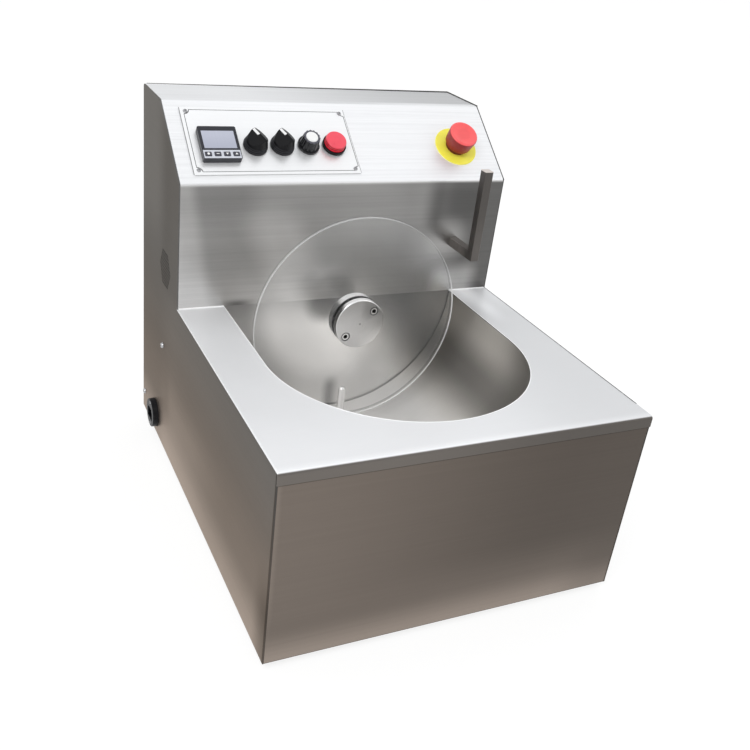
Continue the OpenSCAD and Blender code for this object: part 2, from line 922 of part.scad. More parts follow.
module speed_knob() {
    nut_room = pot_nut_t + speed_cap_t;
    color(black) on_panel(control_x(2), control_rise, plate_t + seat_gap) {
        difference() {
            union() {
                cylinder(d = speed_skirt_d, h = speed_skirt_h);
                cylinder(d1 = speed_body_d, d2 = speed_top_d, h = speed_h);
            }
            for (i = [1 : speed_flutes]) rotate(i * 360 / speed_flutes)
                translate([speed_body_d / 2 + speed_flute_out, 0, 0]) rotate([0, -speed_lean, 0])
                    translate([0, 0, speed_skirt_h + speed_flute_rise])
                        cylinder(d = speed_flute_d, h = speed_h, $fn = 16);
            translate([0, 0, -overrun]) cylinder(d = pot_nut_d + 2 * pot_nut_gap, h = nut_room + overrun);
            translate([0, 0, speed_h - speed_cap_t / 2])
                cylinder(d = speed_cap_d + 2 * fit_gap, h = speed_cap_t);
        }
        translate([0, 0, nut_room + pot_nut_t - pot_l]) cylinder(d = pot_shaft_d, h = pot_l);
    }
}

module speed_cap() {
    color("whitesmoke") on_panel(control_x(2), control_rise, plate_t + seat_gap + speed_h - speed_cap_t / 2)
        cylinder(d1 = speed_cap_d, d2 = speed_cap_d - speed_cap_t, h = speed_cap_t);
}

module lamp_base() {
    color(black) on_panel(control_x(3), control_rise, plate_t) {
        cylinder(d = base_d, h = lamp_base_h);
        translate([0, 0, -neck_l - block_l / 2])
            cylinder(d = neck_d, h = neck_l + block_l / 2 + lamp_base_h / 2);
    }
}

// Half outline of a round cap with a rounded top edge, for turning about Z
module cap_profile(foot_r, top_r, h, edge_r) {
    polygon([[0, 0], [foot_r, 0], [top_r, h - edge_r], [top_r - edge_r, h], [0, h]]);
    translate([top_r - edge_r, h - edge_r]) intersection() {
        circle(edge_r);
        square(edge_r);
    }
}

module lamp_lens() {
    r = lamp_lens_d / 2;
    color("red") on_panel(control_x(3), control_rise, plate_t + lamp_base_h) difference() {
        rotate_extrude() cap_profile(r, r - lamp_taper, lamp_lens_h, lamp_round);
        for (i = [1 : lamp_rings]) translate([0, 0, (i - 0.5) * lamp_ring_pitch])
            ring(lamp_lens_d + 2 * overrun, lamp_lens_d - 2 * lamp_ring_deep, lamp_ring_w);
    }
}

module panel_nuts() {
    color("silver") {
        for (x = [control_x(0), control_x(1), control_x(3), stop_x])
            on_panel(x, control_rise, -sheet_t - nut_t) difference() {
                cylinder(d = nut_d, h = nut_t, $fn = 6);
                translate([0, 0, -overrun]) cylinder(r = hole_r, h = nut_t + 2 * overrun);
            }
        on_panel(control_x(2), control_rise, plate_t) difference() {
            cylinder(d = pot_nut_d, h = pot_nut_t - fit_gap, $fn = 6);
            translate([0, 0, -overrun]) cylinder(d = pot_bush_d + 2 * fit_gap, h = pot_nut_t + 2 * overrun);
        }
    }
}

module stop_ring() {
    color("gold") on_panel(stop_x, control_rise) ring(stop_ring_d, 2 * hole_r, stop_ring_t);
}

module stop_collar() {
    color(black) on_panel(stop_x, control_rise, stop_ring_t) difference() {
        union() {
            cylinder(d = stop_collar_d, h = stop_collar_h);
            translate([0, 0, -neck_l]) cylinder(d = neck_d, h = neck_l + stop_collar_h / 2);
        }
        translate([0, 0, -neck_l - overrun])
            cylinder(d = stop_stem_d + 2 * run_gap, h = neck_l + stop_collar_h + 2 * overrun);
    }
}

module stop_block() {
    color("darkslategray") on_panel(stop_x, control_rise, stop_ring_t) contact_block();
}

module stop_plunger() {
    low = stop_travel + seat_gap - neck_l;
    shoulder = stop_lift + stop_cup_h - seat_gap;
    color("dimgray") on_panel(stop_x, control_rise, stop_ring_t) {
        translate([0, 0, low]) cylinder(d = stop_stem_d, h = shoulder - low);
        translate([0, 0, low]) cylinder(d = stop_spigot_d, h = shoulder - low + stop_spigot_l);
    }
}

module stop_head() {
    color("red") on_panel(stop_x, control_rise, stop_ring_t + stop_lift) difference() {
        rotate_extrude() cap_profile(stop_d / 2 - stop_taper, stop_d / 2, stop_head_h, stop_round);
        translate([0, 0, -overrun]) cylinder(d = stop_cup_d, h = stop_cup_h + overrun);
        cylinder(d = stop_spigot_d + 2 * run_gap, h = stop_cup_h + stop_spigot_l);
    }
}

module scraper_holder() {
    color(steel) translate([holder_x - holder_bar / 2, y_tower - holder_reach, holder_z]) {
        cube([holder_bar, holder_reach, holder_bar]);
        cube([holder_bar, holder_bar, holder_h]);
    }
}

module temp_probe() {
    color("silver") translate([-probe_side, probe_y, probe_floor]) {
        translate([0, 0, -probe_tail]) cylinder(r = probe_r, h = probe_tail + probe_l - probe_r);
        translate([0, 0, probe_l - probe_r]) sphere(probe_r);
    }
}

module probe_gland() {
    color("goldenrod") difference() {
        translate([-probe_side, probe_y, probe_floor - tank_wall - gland_l])
            cylinder(d = gland_d, h = gland_l + gland_d / 2);
        tank_form(tank_r + tank_wall + fit_gap, y_tower);
        translate([-probe_side, probe_y, z_body]) cylinder(r = probe_r + fit_gap, h = deck_h);
    }
}

module heater_mat() {
    inner = tank_r + tank_wall + fit_gap;
    reach = 3 * inner;
    color("firebrick") difference() {
        translate([0, tank_y + heater_margin, z_deck]) rotate([-90, 0, 0])
            linear_extrude(tank_straight - 2 * heater_margin) intersection() {
                difference() {
                    circle(inner + heater_t, $fn = 128);
                    circle(inner, $fn = 128);
                }
                polygon([
                    [0, 0],
                    reach * [-sin(heater_spread), cos(heater_spread)],
                    reach * [sin(heater_spread), cos(heater_spread)]
                ]);
            }
        translate([-probe_side, probe_y, z_body]) cylinder(d = gland_d + 2 * cover_gap, h = deck_h);
    }
}

module at_drive_screws() {
    at_corners(drive_screw_pitch, drive_screw_pitch) children();
}

module bearing_housing() {
    color("gray") on_shaft(y_wall) difference() {
        union() {
            cylinder(d = housing_d, h = housing_rim);
            cylinder(d = housing_neck_d, h = housing_l);
            translate([0, 0, housing_l - housing_rim]) linear_extrude(housing_rim)
                round_rect(gearbox_w, gearbox_w, gearbox_corner);
        }
        translate([0, 0, -overrun]) cylinder(d = seal_d + 2 * fit_gap, h = seal_l + overrun);
        translate([0, 0, -overrun]) cylinder(r = shaft_r + seat_gap, h = housing_l + 2 * overrun);
        translate([0, 0, housing_l - bush_l]) cylinder(d = bush_d + 2 * fit_gap, h = bush_l + overrun);
        at_drive_screws() cylinder(d = drive_screw_d + 2 * fit_gap, h = housing_l + overrun);
    }
}

module shaft_bush() {
    color("peru") on_shaft(y_wall + housing_l - bush_l) ring(bush_d, shaft_d + 2 * run_gap, bush_l);
}

module shaft_seal() {
    color(black) on_shaft(y_wall + seat_gap) ring(seal_d, shaft_d + 2 * run_gap, seal_l - seat_gap);
}

module housing_screws() {
    color("silver") on_shaft(y_wall + housing_l - housing_rim) at_drive_screws() rotate([180, 0, 0])
        pan_screw(drive_screw_d, housing_rim + drive_reach, drive_head_d, drive_head_h, case_slot_w);
}

module gearbox() {
    color("darkgray") on_shaft(y_wall + housing_l) difference() {
        linear_extrude(gearbox_l) round_rect(gearbox_w, gearbox_w, gearbox_corner);
        translate([0, 0, -overrun])
            cylinder(r = shaft_r + run_gap, h = shaft_in_gearbox + seat_gap + overrun);
        at_drive_screws() translate([0, 0, -overrun])
            cylinder(d = drive_screw_d + 2 * fit_gap, h = drive_reach + seat_gap + overrun);
    }
}

module gear_motor() {
    color("gray") on_shaft(y_wall + housing_l + gearbox_l / 2) rotate([0, 90, 0])
    translate([0, 0, gearbox_w / 2]) {
        difference() {
            cylinder(d = motor_d, h = motor_l);
            for (i = [1 : motor_ribs]) rotate(i * 360 / motor_ribs)
                translate([motor_d / 2, 0, motor_cap_l])
                    cylinder(d = motor_rib_d, h = motor_l - 2 * motor_cap_l, $fn = 16);
        }
        cylinder(d = motor_cap_d, h = motor_l + motor_cap_l);
    }
}

module wheel_disc() {
    color([0.8, 0.9, 0.95, 0.35]) on_shaft(disc_front) difference() {
        cylinder(r = wheel_r, h = wheel_t, $fn = 128);
        translate([0, 0, -overrun]) cylinder(d = hub_spigot_d + 2 * fit_gap, h = wheel_t + 2 * overrun);
        at_clamps() translate([0, 0, -overrun])
            cylinder(d = clamp_screw_d + 2 * fit_gap, h = wheel_t + 2 * overrun);
    }
}

module hub_flange() {
    color("silver") on_shaft(disc_back) difference() {
        union() {
            cylinder(d = hub_d, h = hub_flange_t);
            cylinder(d = hub_boss_d, h = hub_flange_t + hub_boss_l);
            translate([0, 0, -wheel_t]) cylinder(d = hub_spigot_d, h = wheel_t + hub_flange_t / 2);
        }
        translate([0, 0, shaft_stop]) cylinder(r = shaft_r + fit_gap, h = hub_flange_t + hub_boss_l);
        at_clamps() translate([0, 0, -wheel_t])
            cylinder(d = clamp_screw_d + 2 * fit_gap, h = wheel_t + clamp_reach + fit_gap);
    }
}

module clamp_plate() {
    color("silver") on_shaft(clamp_front) difference() {
        union() {
            cylinder(d1 = hub_d - 2 * clamp_edge, d2 = hub_d, h = clamp_edge);
            translate([0, 0, clamp_edge]) cylinder(d = hub_d, h = clamp_t - clamp_edge);
        }
        at_clamps() {
            translate([0, 0, -overrun]) cylinder(d = clamp_screw_d + 2 * fit_gap, h = clamp_t + 2 * overrun);
            translate([0, 0, -overrun])
                cylinder(d = clamp_head_d + 2 * clamp_bore_gap, h = clamp_sink + clamp_head_h + overrun);
        }
    }
}

module clamp_screws() {
    color("gray") on_shaft(clamp_front + clamp_sink) at_clamps() difference() {
        union() {
            cylinder(d = clamp_head_d, h = clamp_head_h);
            cylinder(d = clamp_screw_d, h = clamp_t - clamp_sink + wheel_t + clamp_reach);
        }
        translate([0, 0, -overrun]) cylinder(d = clamp_socket_d, h = clamp_socket_deep + overrun, $fn = 6);
    }
}

module drive_shaft() {
    start = disc_back + shaft_stop;
    color("silver") on_shaft(start) cylinder(r = shaft_r, h = y_wall + housing_l + shaft_in_gearbox - start);
}

// Places children on the fan axis behind the vent, Z outwards, from the inner face of the fan
module on_fan() {
    on_left(fan_y, vent_z, -sheet_t - fan_t) children();
}

module fan_frame() {
    color(black) on_fan() {
        linear_extrude(fan_t) difference() {
            round_rect(fan_w, fan_w, fan_corner);
            circle(d = fan_bore_d);
        }
        cylinder(d = fan_hub_d, h = fan_motor_t);
        cylinder(d = fan_pin_d, h = fan_motor_t + fan_pin_l);
        for (a = [45 : 90 : 315]) rotate(a) translate([0, -fan_strut_w / 2, 0])
            cube([(fan_bore_d + fan_strut_w) / 2, fan_strut_w, fan_motor_t]);
    }
}

module fan_rotor() {
    low = fan_motor_t + seat_gap;
    color("dimgray") on_fan() difference() {
        union() {
            translate([0, 0, low]) cylinder(d = fan_hub_d, h = fan_hub_t);
            for (i = [1 : fan_blades]) rotate(i * 360 / fan_blades)
                translate([0, 0, low + fan_hub_t / 2]) rotate([fan_pitch_a, 0, 0])
                    translate([0, -fan_blade_t / 2, -fan_blade_w / 2])
                        cube([fan_bore_d / 2 - fan_blade_gap, fan_blade_t, fan_blade_w]);
        }
        cylinder(d = fan_pin_d + 2 * run_gap, h = low + fan_pin_l);
    }
}

// Places children on the tray, at a distance from the middle and with their front edge lined up
module on_tray(x, part_d) {
    translate([x, tray_front + tray_lap + part_d / 2, tray_z + sheet_t]) children();
}

module speed_driver() {
    color("gray") on_tray(-(driver_w + tray_part_gap) / 2, driver_d) {
        translate([-driver_w / 2, -driver_d / 2, 0]) cube([driver_w, driver_d, driver_h - driver_rib_h]);
        for (i = [0 : driver_ribs - 1])
            translate([i * (driver_w - driver_rib_w) / (driver_ribs - 1) - driver_w / 2, -driver_d / 2, 0])
                cube([driver_rib_w, driver_d, driver_h]);
    }
}

module heater_relay() {
    color("dimgray") on_tray((relay_w + tray_part_gap) / 2, relay_d + 2 * relay_sink_lap) {
        translate([-relay_w / 2, -relay_d / 2, 0]) cube([relay_w, relay_d, relay_h]);
        translate([-relay_w / 2 - relay_sink_lap, -relay_d / 2 - relay_sink_lap, 0])
            cube([relay_w + 2 * relay_sink_lap, relay_d + 2 * relay_sink_lap, relay_sink_t]);
    }
}

module terminal_block() {
    color("ivory") on_tray(relay_w + 2 * tray_part_gap + terminal_w / 2, terminal_d) difference() {
        union() {
            translate([-terminal_w / 2, -terminal_d / 2, 0])
                cube([terminal_w, terminal_d, terminal_h - terminal_step]);
            translate([-terminal_w / 2, -terminal_d / 4, 0]) cube([terminal_w, terminal_d / 2, terminal_h]);
        }
        for (i = [0 : terminal_ways - 1], s = [-1, 1])
            translate([
                (i - (terminal_ways - 1) / 2) * terminal_w / terminal_ways,
                s * terminal_d * terminal_screw_share,
                terminal_h - 2 * terminal_step
            ])
            cylinder(d = terminal_screw_d, h = terminal_h, $fn = 16);
    }
}

// Places children on the outer face of the inlet flange, over its socket
module on_socket(lift) {
    on_left(inlet_y, inlet_z, inlet_t + lift) children();
}

module mains_inlet() {
    w = inlet_socket_w / 2;
    h = inlet_socket_h / 2;
    c = inlet_socket_cut;
    color(black) difference() {
        on_left(inlet_y, inlet_z) {
            rotate_extrude() cap_profile(inlet_d / 2, inlet_d / 2 - inlet_taper, inlet_t, inlet_edge);
            translate([0, 0, -inlet_body_l]) linear_extrude(inlet_body_l + inlet_t / 2)
                square([inlet_body_w, inlet_body_h], center = true);
        }
        on_socket(-inlet_socket_deep) linear_extrude(inlet_socket_deep + overrun)
            polygon([[-w, -h], [w, -h], [w, h - c], [w - c, h], [c - w, h], [-w, h - c]]);
        on_left(inlet_y, inlet_z, -overrun) for (s = [-1, 1]) translate([0, s * inlet_screw_pitch / 2, 0])
            union() {
                cylinder(d = inlet_screw_d + 2 * fit_gap, h = inlet_t + 2 * overrun);
                translate([0, 0, inlet_t + overrun - inlet_head_h])
                    cylinder(d = inlet_head_d + 2 * seat_gap, h = inlet_head_h + overrun);
            }
    }
}

module inlet_pins() {
    color("goldenrod") on_socket(-inlet_socket_deep) for (i = [-1 : 1])
        translate([i * inlet_pin_pitch, i == 0 ? inlet_pin_lift : -inlet_pin_lift, 0])
            linear_extrude(inlet_pin_l) square([inlet_pin_t, inlet_pin_w], center = true);
}

module inlet_screws() {
    color("silver") on_left(inlet_y, inlet_z, inlet_t - inlet_head_h) for (s = [-1, 1])
        translate([0, s * inlet_screw_pitch / 2, 0])
            pan_screw(inlet_screw_d, inlet_screw_l, inlet_head_d, inlet_head_h, case_slot_w);
}

side_panel_left();
side_panel_right();
front_panel();
deck_pan();
tank_bowl();
tower_sheet();
rear_cover();
base_plate();
feet();
foot_screws();
case_screws();
electrics_tray();
control_plate();
plate_screws();
controller_case();
controller_clip();
display_window();
key_strip();
key_1();
key_2();
key_3();
key_4();
selector_bezels();
selector_blocks();
selector_knob_1();
selector_knob_2();
speed_pot();
speed_knob();
speed_cap();
lamp_base();
lamp_lens();
panel_nuts();
stop_ring();
stop_collar();
stop_block();
stop_plunger();
stop_head();
scraper_holder();
temp_probe();
probe_gland();
bearing_housing();
shaft_bush();
shaft_seal();
housing_screws();
gearbox();
gear_motor();
wheel_disc();
hub_flange();
clamp_plate();
clamp_screws();
drive_shaft();
fan_frame();
fan_rotor();
heater_mat();
speed_driver();
heater_relay();
terminal_block();
mains_inlet();
inlet_pins();
inlet_screws();
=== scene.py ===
# %% [markdown]
# A tabletop chocolate melting tank. The CAD model gives every solid its size, its place and its
# motion. This lesson gives those solids their looks: rounded edges, brushed steel, a clear wheel
# and the small fittings of the control panel. Lengths are metres, in the frame of the CAD model.

# %% Load the frame
import json
import math

import bmesh
import bpy
from mathutils import Matrix, Vector


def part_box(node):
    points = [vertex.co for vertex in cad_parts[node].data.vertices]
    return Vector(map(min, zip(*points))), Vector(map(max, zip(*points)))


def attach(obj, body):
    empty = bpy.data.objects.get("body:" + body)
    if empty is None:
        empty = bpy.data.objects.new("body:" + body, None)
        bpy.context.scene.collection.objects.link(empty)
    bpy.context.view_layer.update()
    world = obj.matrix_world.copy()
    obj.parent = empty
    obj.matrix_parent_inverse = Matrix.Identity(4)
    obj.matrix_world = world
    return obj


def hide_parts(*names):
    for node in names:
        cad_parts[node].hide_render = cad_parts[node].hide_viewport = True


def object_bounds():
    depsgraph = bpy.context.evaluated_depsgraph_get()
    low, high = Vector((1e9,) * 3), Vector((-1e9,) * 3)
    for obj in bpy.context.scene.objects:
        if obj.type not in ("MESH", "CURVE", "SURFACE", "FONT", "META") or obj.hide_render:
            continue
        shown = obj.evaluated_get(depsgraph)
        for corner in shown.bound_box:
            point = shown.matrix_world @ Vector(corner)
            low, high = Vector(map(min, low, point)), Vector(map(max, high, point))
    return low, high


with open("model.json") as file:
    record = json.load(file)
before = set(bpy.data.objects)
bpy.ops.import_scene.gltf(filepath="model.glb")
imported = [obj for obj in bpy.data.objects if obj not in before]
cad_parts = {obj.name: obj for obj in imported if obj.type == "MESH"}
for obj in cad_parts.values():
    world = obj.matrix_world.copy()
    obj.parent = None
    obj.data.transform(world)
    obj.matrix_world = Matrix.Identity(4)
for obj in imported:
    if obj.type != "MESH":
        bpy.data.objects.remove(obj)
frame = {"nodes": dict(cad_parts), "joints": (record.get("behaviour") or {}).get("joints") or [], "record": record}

cad_low, cad_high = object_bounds()
scene = bpy.context.scene
scene.view_settings.view_transform = "Standard"
joints = {joint["name"]: joint for joint in frame["joints"]}
members = frame["record"]["behaviour"]["bodies"]
body_of = {node: body for body, nodes in members.items() for node in nodes}
print("CAD box", [round(size, 4) for size in cad_high - cad_low], "with", len(body_of), "nodes")

# %% [markdown]
# The camera stands to the left of the tank and looks down into its bowl. A heading, a dip below
# the horizon and a small roll turn it, which is easier to read and to adjust than a quaternion.

# %% Camera
camera_place = Vector((-0.4969, -0.9551, 0.7406))
camera_heading = math.radians(28.16)
camera_dip = math.radians(27.35)
camera_roll = math.radians(7.41)
lens_mm = 44.65
sensor_mm = 36

camera = bpy.data.objects.new("camera", bpy.data.cameras.new("camera"))
camera.data.lens = lens_mm
camera.data.sensor_width = sensor_mm
camera.matrix_world = (
    Matrix.Translation(camera_place)
    @ Matrix.Rotation(-camera_heading, 4, "Z")
    @ Matrix.Rotation(math.pi / 2 - camera_dip, 4, "X")
    @ Matrix.Rotation(camera_roll, 4, "Z")
)
scene.collection.objects.link(camera)
scene.camera = camera
print("camera", tuple(camera_place), "lens", lens_mm, "mm")

# %% [markdown]
# A node tree is a drawing, and a drawing of arithmetic is hard to read. This class wraps one
# output of a node, so that sums and products are written as Python and become Math nodes.
# Its node method adds any other node: settings first, then values or links for its inputs.
# Shaders and Geometry Nodes share the class, because both use the same kind of tree.


# %% Node trees written as expressions
class Socket:
    """One output of a node. Arithmetic on it adds Math nodes to its tree."""

    def __init__(self, tree, socket=None):
        self.tree = tree
        self.socket = socket

    def node(self, kind, settings=None, inputs=None, output=0):
        made = self.tree.nodes.new(kind)
        for name, setting in (settings or {}).items():
            setattr(made, name, setting)
        for name, value in (inputs or {}).items():
            if isinstance(value, Socket):
                self.tree.links.new(value.socket, made.inputs[name])
            else:
                made.inputs[name].default_value = value
        return Socket(self.tree, made.outputs[output])

    def math(self, operation, *values):
        return self.node("ShaderNodeMath", {"operation": operation}, dict(enumerate(values)))

    def __add__(self, other):
        return self.math("ADD", self, other)

    def __sub__(self, other):
        return self.math("SUBTRACT", self, other)

    def __rsub__(self, other):
        return self.math("SUBTRACT", other, self)

    def __mul__(self, other):
        return self.math("MULTIPLY", self, other)

    def __truediv__(self, other):
        return self.math("DIVIDE", self, other)

    def __pow__(self, other):
        return self.math("POWER", self, other)

    __radd__ = __add__
    __rmul__ = __mul__


def axis(vector, letter):
    return vector.node("ShaderNodeSeparateXYZ", None, {"Vector": vector}, letter)


def ramp(value, low, high, at_low=0.0, at_high=1.0):
    """Goes smoothly from at_low to at_high while the value goes from low to high."""
    limits = {"From Min": low, "From Max": high, "To Min": at_low, "To Max": at_high}
    settings = {"interpolation_type": "SMOOTHSTEP"}
    return value.node("ShaderNodeMapRange", settings, {"Value": value, **limits})


def noise(place, scale, detail=2.0, rough=0.5):
    values = {"Vector": place, "Scale": scale, "Detail": detail, "Roughness": rough}
    return place.node("ShaderNodeTexNoise", None, values, "Fac")


def stretched(place, scale, centre=(0, 0, 0), turn=(0, 0, 0)):
    """The position about a centre, turned and multiplied by a scale of its own on each axis."""
    shift = place.node("ShaderNodeVectorMath", {"operation": "SUBTRACT"}, {0: place, 1: centre})
    return place.node("ShaderNodeMapping", None, {"Vector": shift, "Rotation": turn, "Scale": scale})


def apart(place, centre, keep=(1, 1, 1)):
    """Distance from a centre, counted only along the axes that keep names."""
    shift = stretched(place, keep, centre)
    return shift.node("ShaderNodeVectorMath", {"operation": "LENGTH"}, {0: shift}, "Value")


def bands(value, middles, half):
    """1 at each of the middles, and 0 further from it than half."""
    total = 0.0
    for middle in middles:
        gap = value - middle
        total = ramp(gap.math("ABSOLUTE", gap), 0.0, half, 1.0, 0.0) + total
    return total


def hump(value, rise, fall):
    """Goes from 0 to 1 over the range rise, and back to 0 over the range fall."""
    return ramp(value, *rise) * ramp(value, *fall, 1.0, 0.0)


def spot(place, x, z, near, far, gain):
    """The gain within near of a point, and 0 further from it than far. Depth does not count."""
    return ramp(apart(place, (x, 0, z), (1, 0, 1)), near, far, gain, 0.0)


def toned(shade, colour):
    """A colour made darker or lighter by a number."""
    return shade.node("ShaderNodeVectorMath", {"operation": "SCALE"}, {0: colour, "Scale": shade})


def blend(share, first, second):
    """The first colour where the share is 0 and the second where it is 1."""
    inputs = {0: share, 6: first, 7: second}
    return share.node("ShaderNodeMix", {"data_type": "RGBA"}, inputs, 2)


def bumped(height, strength, distance):
    inputs = {"Height": height, "Strength": strength, "Distance": distance}
    return height.node("ShaderNodeBump", None, inputs)


def finish(name, recipe, **constants):
    """A material. The recipe turns an object position into shader inputs. Constants are set
    on their sockets."""
    material = bpy.data.materials.new(name)
    material.use_nodes = True
    tree = material.node_tree
    shader = tree.nodes["Principled BSDF"]
    place = Socket(tree).node("ShaderNodeTexCoord", output="Object")
    for label, value in recipe(place).items():
        tree.links.new(value.socket, shader.inputs[label])
    for label, value in constants.items():
        shader.inputs[label.replace("_", " ")].default_value = value
    return material


print("expression class and", finish.__name__, "ready")

# %% [markdown]
# Steel shows what is round it, so the stage matters as much as the metal. The room is a soft sky
# that is brightest overhead and dimmer in front, where the viewer stands. The floor is a wide disc
# that curves up at its rim, like the paper sweep of a photo studio. It is pale and looks white to
# the camera and in the metal, but still keeps part of the tank's soft shadow.

# %% Stage and light
floor_reach = 18.0
sweep_radius = 8.0
sweep_steps = 10
round_steps = 96
floor_pale = (0.86, 0.86, 0.85, 1)
floor_white_share = 0.72
floor_glow = 1.12
room_tint = (0.975, 0.985, 1.0, 1)
horizon_light = 0.55
overhead_light = 1.08
viewer_side_share = 0.66

floor_points = []
for step in range(sweep_steps + 1):
    lean = math.pi / 2 * step / sweep_steps
    reach = floor_reach + sweep_radius * math.sin(lean)
    lift = sweep_radius * (1 - math.cos(lean))
    for place in range(round_steps):
        turn = 2 * math.pi * place / round_steps
        floor_points.append((reach * math.cos(turn), reach * math.sin(turn), lift))
floor_faces = [tuple(range(round_steps))]
for step in range(sweep_steps):
    for place in range(round_steps):
        here = step * round_steps + place
        beside = step * round_steps + (place + 1) % round_steps
        floor_faces.append((here, here + round_steps, beside + round_steps, beside))
floor_mesh = bpy.data.meshes.new("floor")
floor_mesh.from_pydata(floor_points, [], floor_faces)
floor = bpy.data.objects.new("floor", floor_mesh)
scene.collection.objects.link(floor)

floor_paint = bpy.data.materials.new("pale floor")
floor_paint.use_nodes = True
floor_paint.node_tree.nodes.clear()
root = Socket(floor_paint.node_tree)
seen = [root.node("ShaderNodeLightPath", output=ray)
        for ray in ("Is Camera Ray", "Is Glossy Ray", "Is Transmission Ray")]
whiten = (seen[0] + seen[1] + seen[2]) * floor_white_share
shaded = root.node("ShaderNodeBsdfDiffuse", None, {"Color": floor_pale})
white = root.node("ShaderNodeEmission", None, {"Color": (1, 1, 1, 1), "Strength": floor_glow})
mixed = root.node("ShaderNodeMixShader", None, {0: whiten, 1: shaded, 2: white})
output = floor_paint.node_tree.nodes.new("ShaderNodeOutputMaterial")
floor_paint.node_tree.links.new(mixed.socket, output.inputs["Surface"])
floor_mesh.materials.append(floor_paint)

room = bpy.data.worlds.new("soft room")
room.use_nodes = True
scene.world = room
toward = Socket(room.node_tree).node("ShaderNodeTexCoord", output="Generated")
sky = ramp(axis(toward, "Z"), -0.1, 0.8, horizon_light, overhead_light)
sky = sky * ramp(axis(toward, "Y"), -0.8, 0.5, viewer_side_share, 1.0)
backdrop = room.node_tree.nodes["Background"]
backdrop.inputs["Color"].default_value = room_tint
room.node_tree.links.new(sky.socket, backdrop.inputs["Strength"])


def soft_box(name, place, aim, width, watts):
    lamp = bpy.data.lights.new(name, "AREA")
    lamp.shape = "SQUARE"
    lamp.size = width
    lamp.energy = watts
    holder = bpy.data.objects.new(name, lamp)
    holder.location = place
    holder.rotation_euler = (Vector(aim) - Vector(place)).to_track_quat("-Z", "Y").to_euler()
    scene.collection.objects.link(holder)


tank_middle = (cad_low + cad_high) / 2
soft_box("key_box", (-1.3, -1.1, 1.9), tank_middle, width=1.0, watts=16)
soft_box("fill_box", (1.6, -1.4, 1.3), tank_middle, width=1.4, watts=6)
print("floor, room and two soft boxes")

# %% [markdown]
# A CAD solid has knife edges, and real sheet and moulded parts never do. A copy of the solid is
# merged, its edges are rounded by a Bevel modifier and its normals are weighted by face size, so
# that flat faces stay flat. The copy then stands for the solid and rides on the same body.


# %% Rounded copies of CAD solids
merge_gap = 1e-6
flat_angle = math.radians(0.5)
face_weight = 80


def plain_mesh(carrier):
    """The evaluated mesh of an object with its modifiers, as plain data. The object is removed."""
    bpy.context.view_layer.update()
    ready = carrier.evaluated_get(bpy.context.evaluated_depsgraph_get())
    mesh = bpy.data.meshes.new_from_object(ready)
    bpy.data.objects.remove(carrier)
    return mesh


def shown(name, mesh, material, body, stands_for=()):
    """Puts a finished mesh into the scene as a piece that rides on a body."""
    mesh.name = name
    mesh.materials.clear()
    mesh.materials.append(material)
    piece = bpy.data.objects.new(name, mesh)
    scene.collection.objects.link(piece)
    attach(piece, body)
    if stands_for:
        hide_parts(*stands_for)
    print(name, len(mesh.polygons), "faces, on", body)
    return piece


def rounded(node, name, material, radius, steps=2, crease=30):
    """A copy of a CAD node with rounded edges, shown in its place."""
    mesh = frame["nodes"][node].data.copy()
    merged = bmesh.new()
    merged.from_mesh(mesh)
    bmesh.ops.remove_doubles(merged, verts=merged.verts, dist=merge_gap)
    bmesh.ops.dissolve_limit(
        merged, angle_limit=flat_angle, verts=merged.verts, edges=merged.edges
    )
    merged.to_mesh(mesh)
    merged.free()
    mesh.shade_smooth()
    carrier = bpy.data.objects.new(name + "_carrier", mesh)
    scene.collection.objects.link(carrier)
    if radius:
        bevel = carrier.modifiers.new("edges", "BEVEL")
        bevel.width = radius
        bevel.segments = steps
        bevel.limit_method = "ANGLE"
        bevel.angle_limit = math.radians(crease)
        bevel.miter_outer = "MITER_ARC"
    weighted = carrier.modifiers.new("normals", "WEIGHTED_NORMAL")
    weighted.weight = face_weight
    return shown(name, plain_mesh(carrier), material, body_of[node], [node])


def coated(node, material):
    """A CAD node that stays as it is, with a better material."""
    for slot in frame["nodes"][node].material_slots:
        slot.material = material


print("rounding tools ready")

# %% [markdown]
# Brushed steel is steel with thousands of fine parallel scratches. Noise that is stretched along
# the brushing gives them: it changes the tone a little, the roughness more, and tilts the surface
# through a Bump node, which draws reflections out across the scratches. Broad clouds stand for
# handling. The outer panels get a darker tone than the deck and the tower, as painted shade on
# upright sheets.
#
# A fade paints light, shade and reflections onto a sheet, making it darker or lighter from place
# to place. Its ranges are places on the tank in metres, and its other numbers are shares of the tone.


# %% Brushed steel
def brushed(tone, line, roughness, cloud=0.10, scratch=0.10, fade=None, worn=None, metal=None):
    """Recipe of a brushed sheet. The line is the scale of the noise, small along the brushing.
    The tone is a colour, or a function that gives one for a place. A fade paints light and shade,
    making the sheet darker or lighter from place to place, worn is added to the roughness, and
    metal sets how much it mirrors."""

    def recipe(place):
        colour = tone(place) if callable(tone) else tone
        hair = noise(stretched(place, [4 * x for x in line]), 1.0, 3.0, 0.6)
        band = noise(stretched(place, line), 0.35, 2.0, 0.5)
        clouds = noise(place, 6.0, 3.0, 0.55)
        shade = 1.0 + scratch * (hair - 0.5) + scratch * (band - 0.5) + cloud * (clouds - 0.5)
        # The fade paints light and shade into the tone.
        if fade:
            shade = shade * fade(place)
        gloss = roughness + 0.16 * (hair - 0.5) + 0.10 * (clouds - 0.5)
        if worn:
            gloss = gloss + worn(place)
        inputs = {
            "Base Color": toned(shade, colour),
            "Roughness": gloss,
            "Normal": bumped(hair + band, 0.25, 0.00004),
        }
        if metal:
            inputs["Metallic"] = metal(place)
        return inputs

    return recipe


lengthwise = 9.0
crosswise = 1100.0
along_x = (lengthwise, crosswise, crosswise)
along_y = (crosswise, lengthwise, crosswise)
along_z = (crosswise, crosswise, lengthwise)

front_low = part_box("front_panel")[0]
side_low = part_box("side_panel_left")[0]
deck_low, deck_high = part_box("deck_pan")
deck_top = deck_high.z
lip_foot = deck_low.z


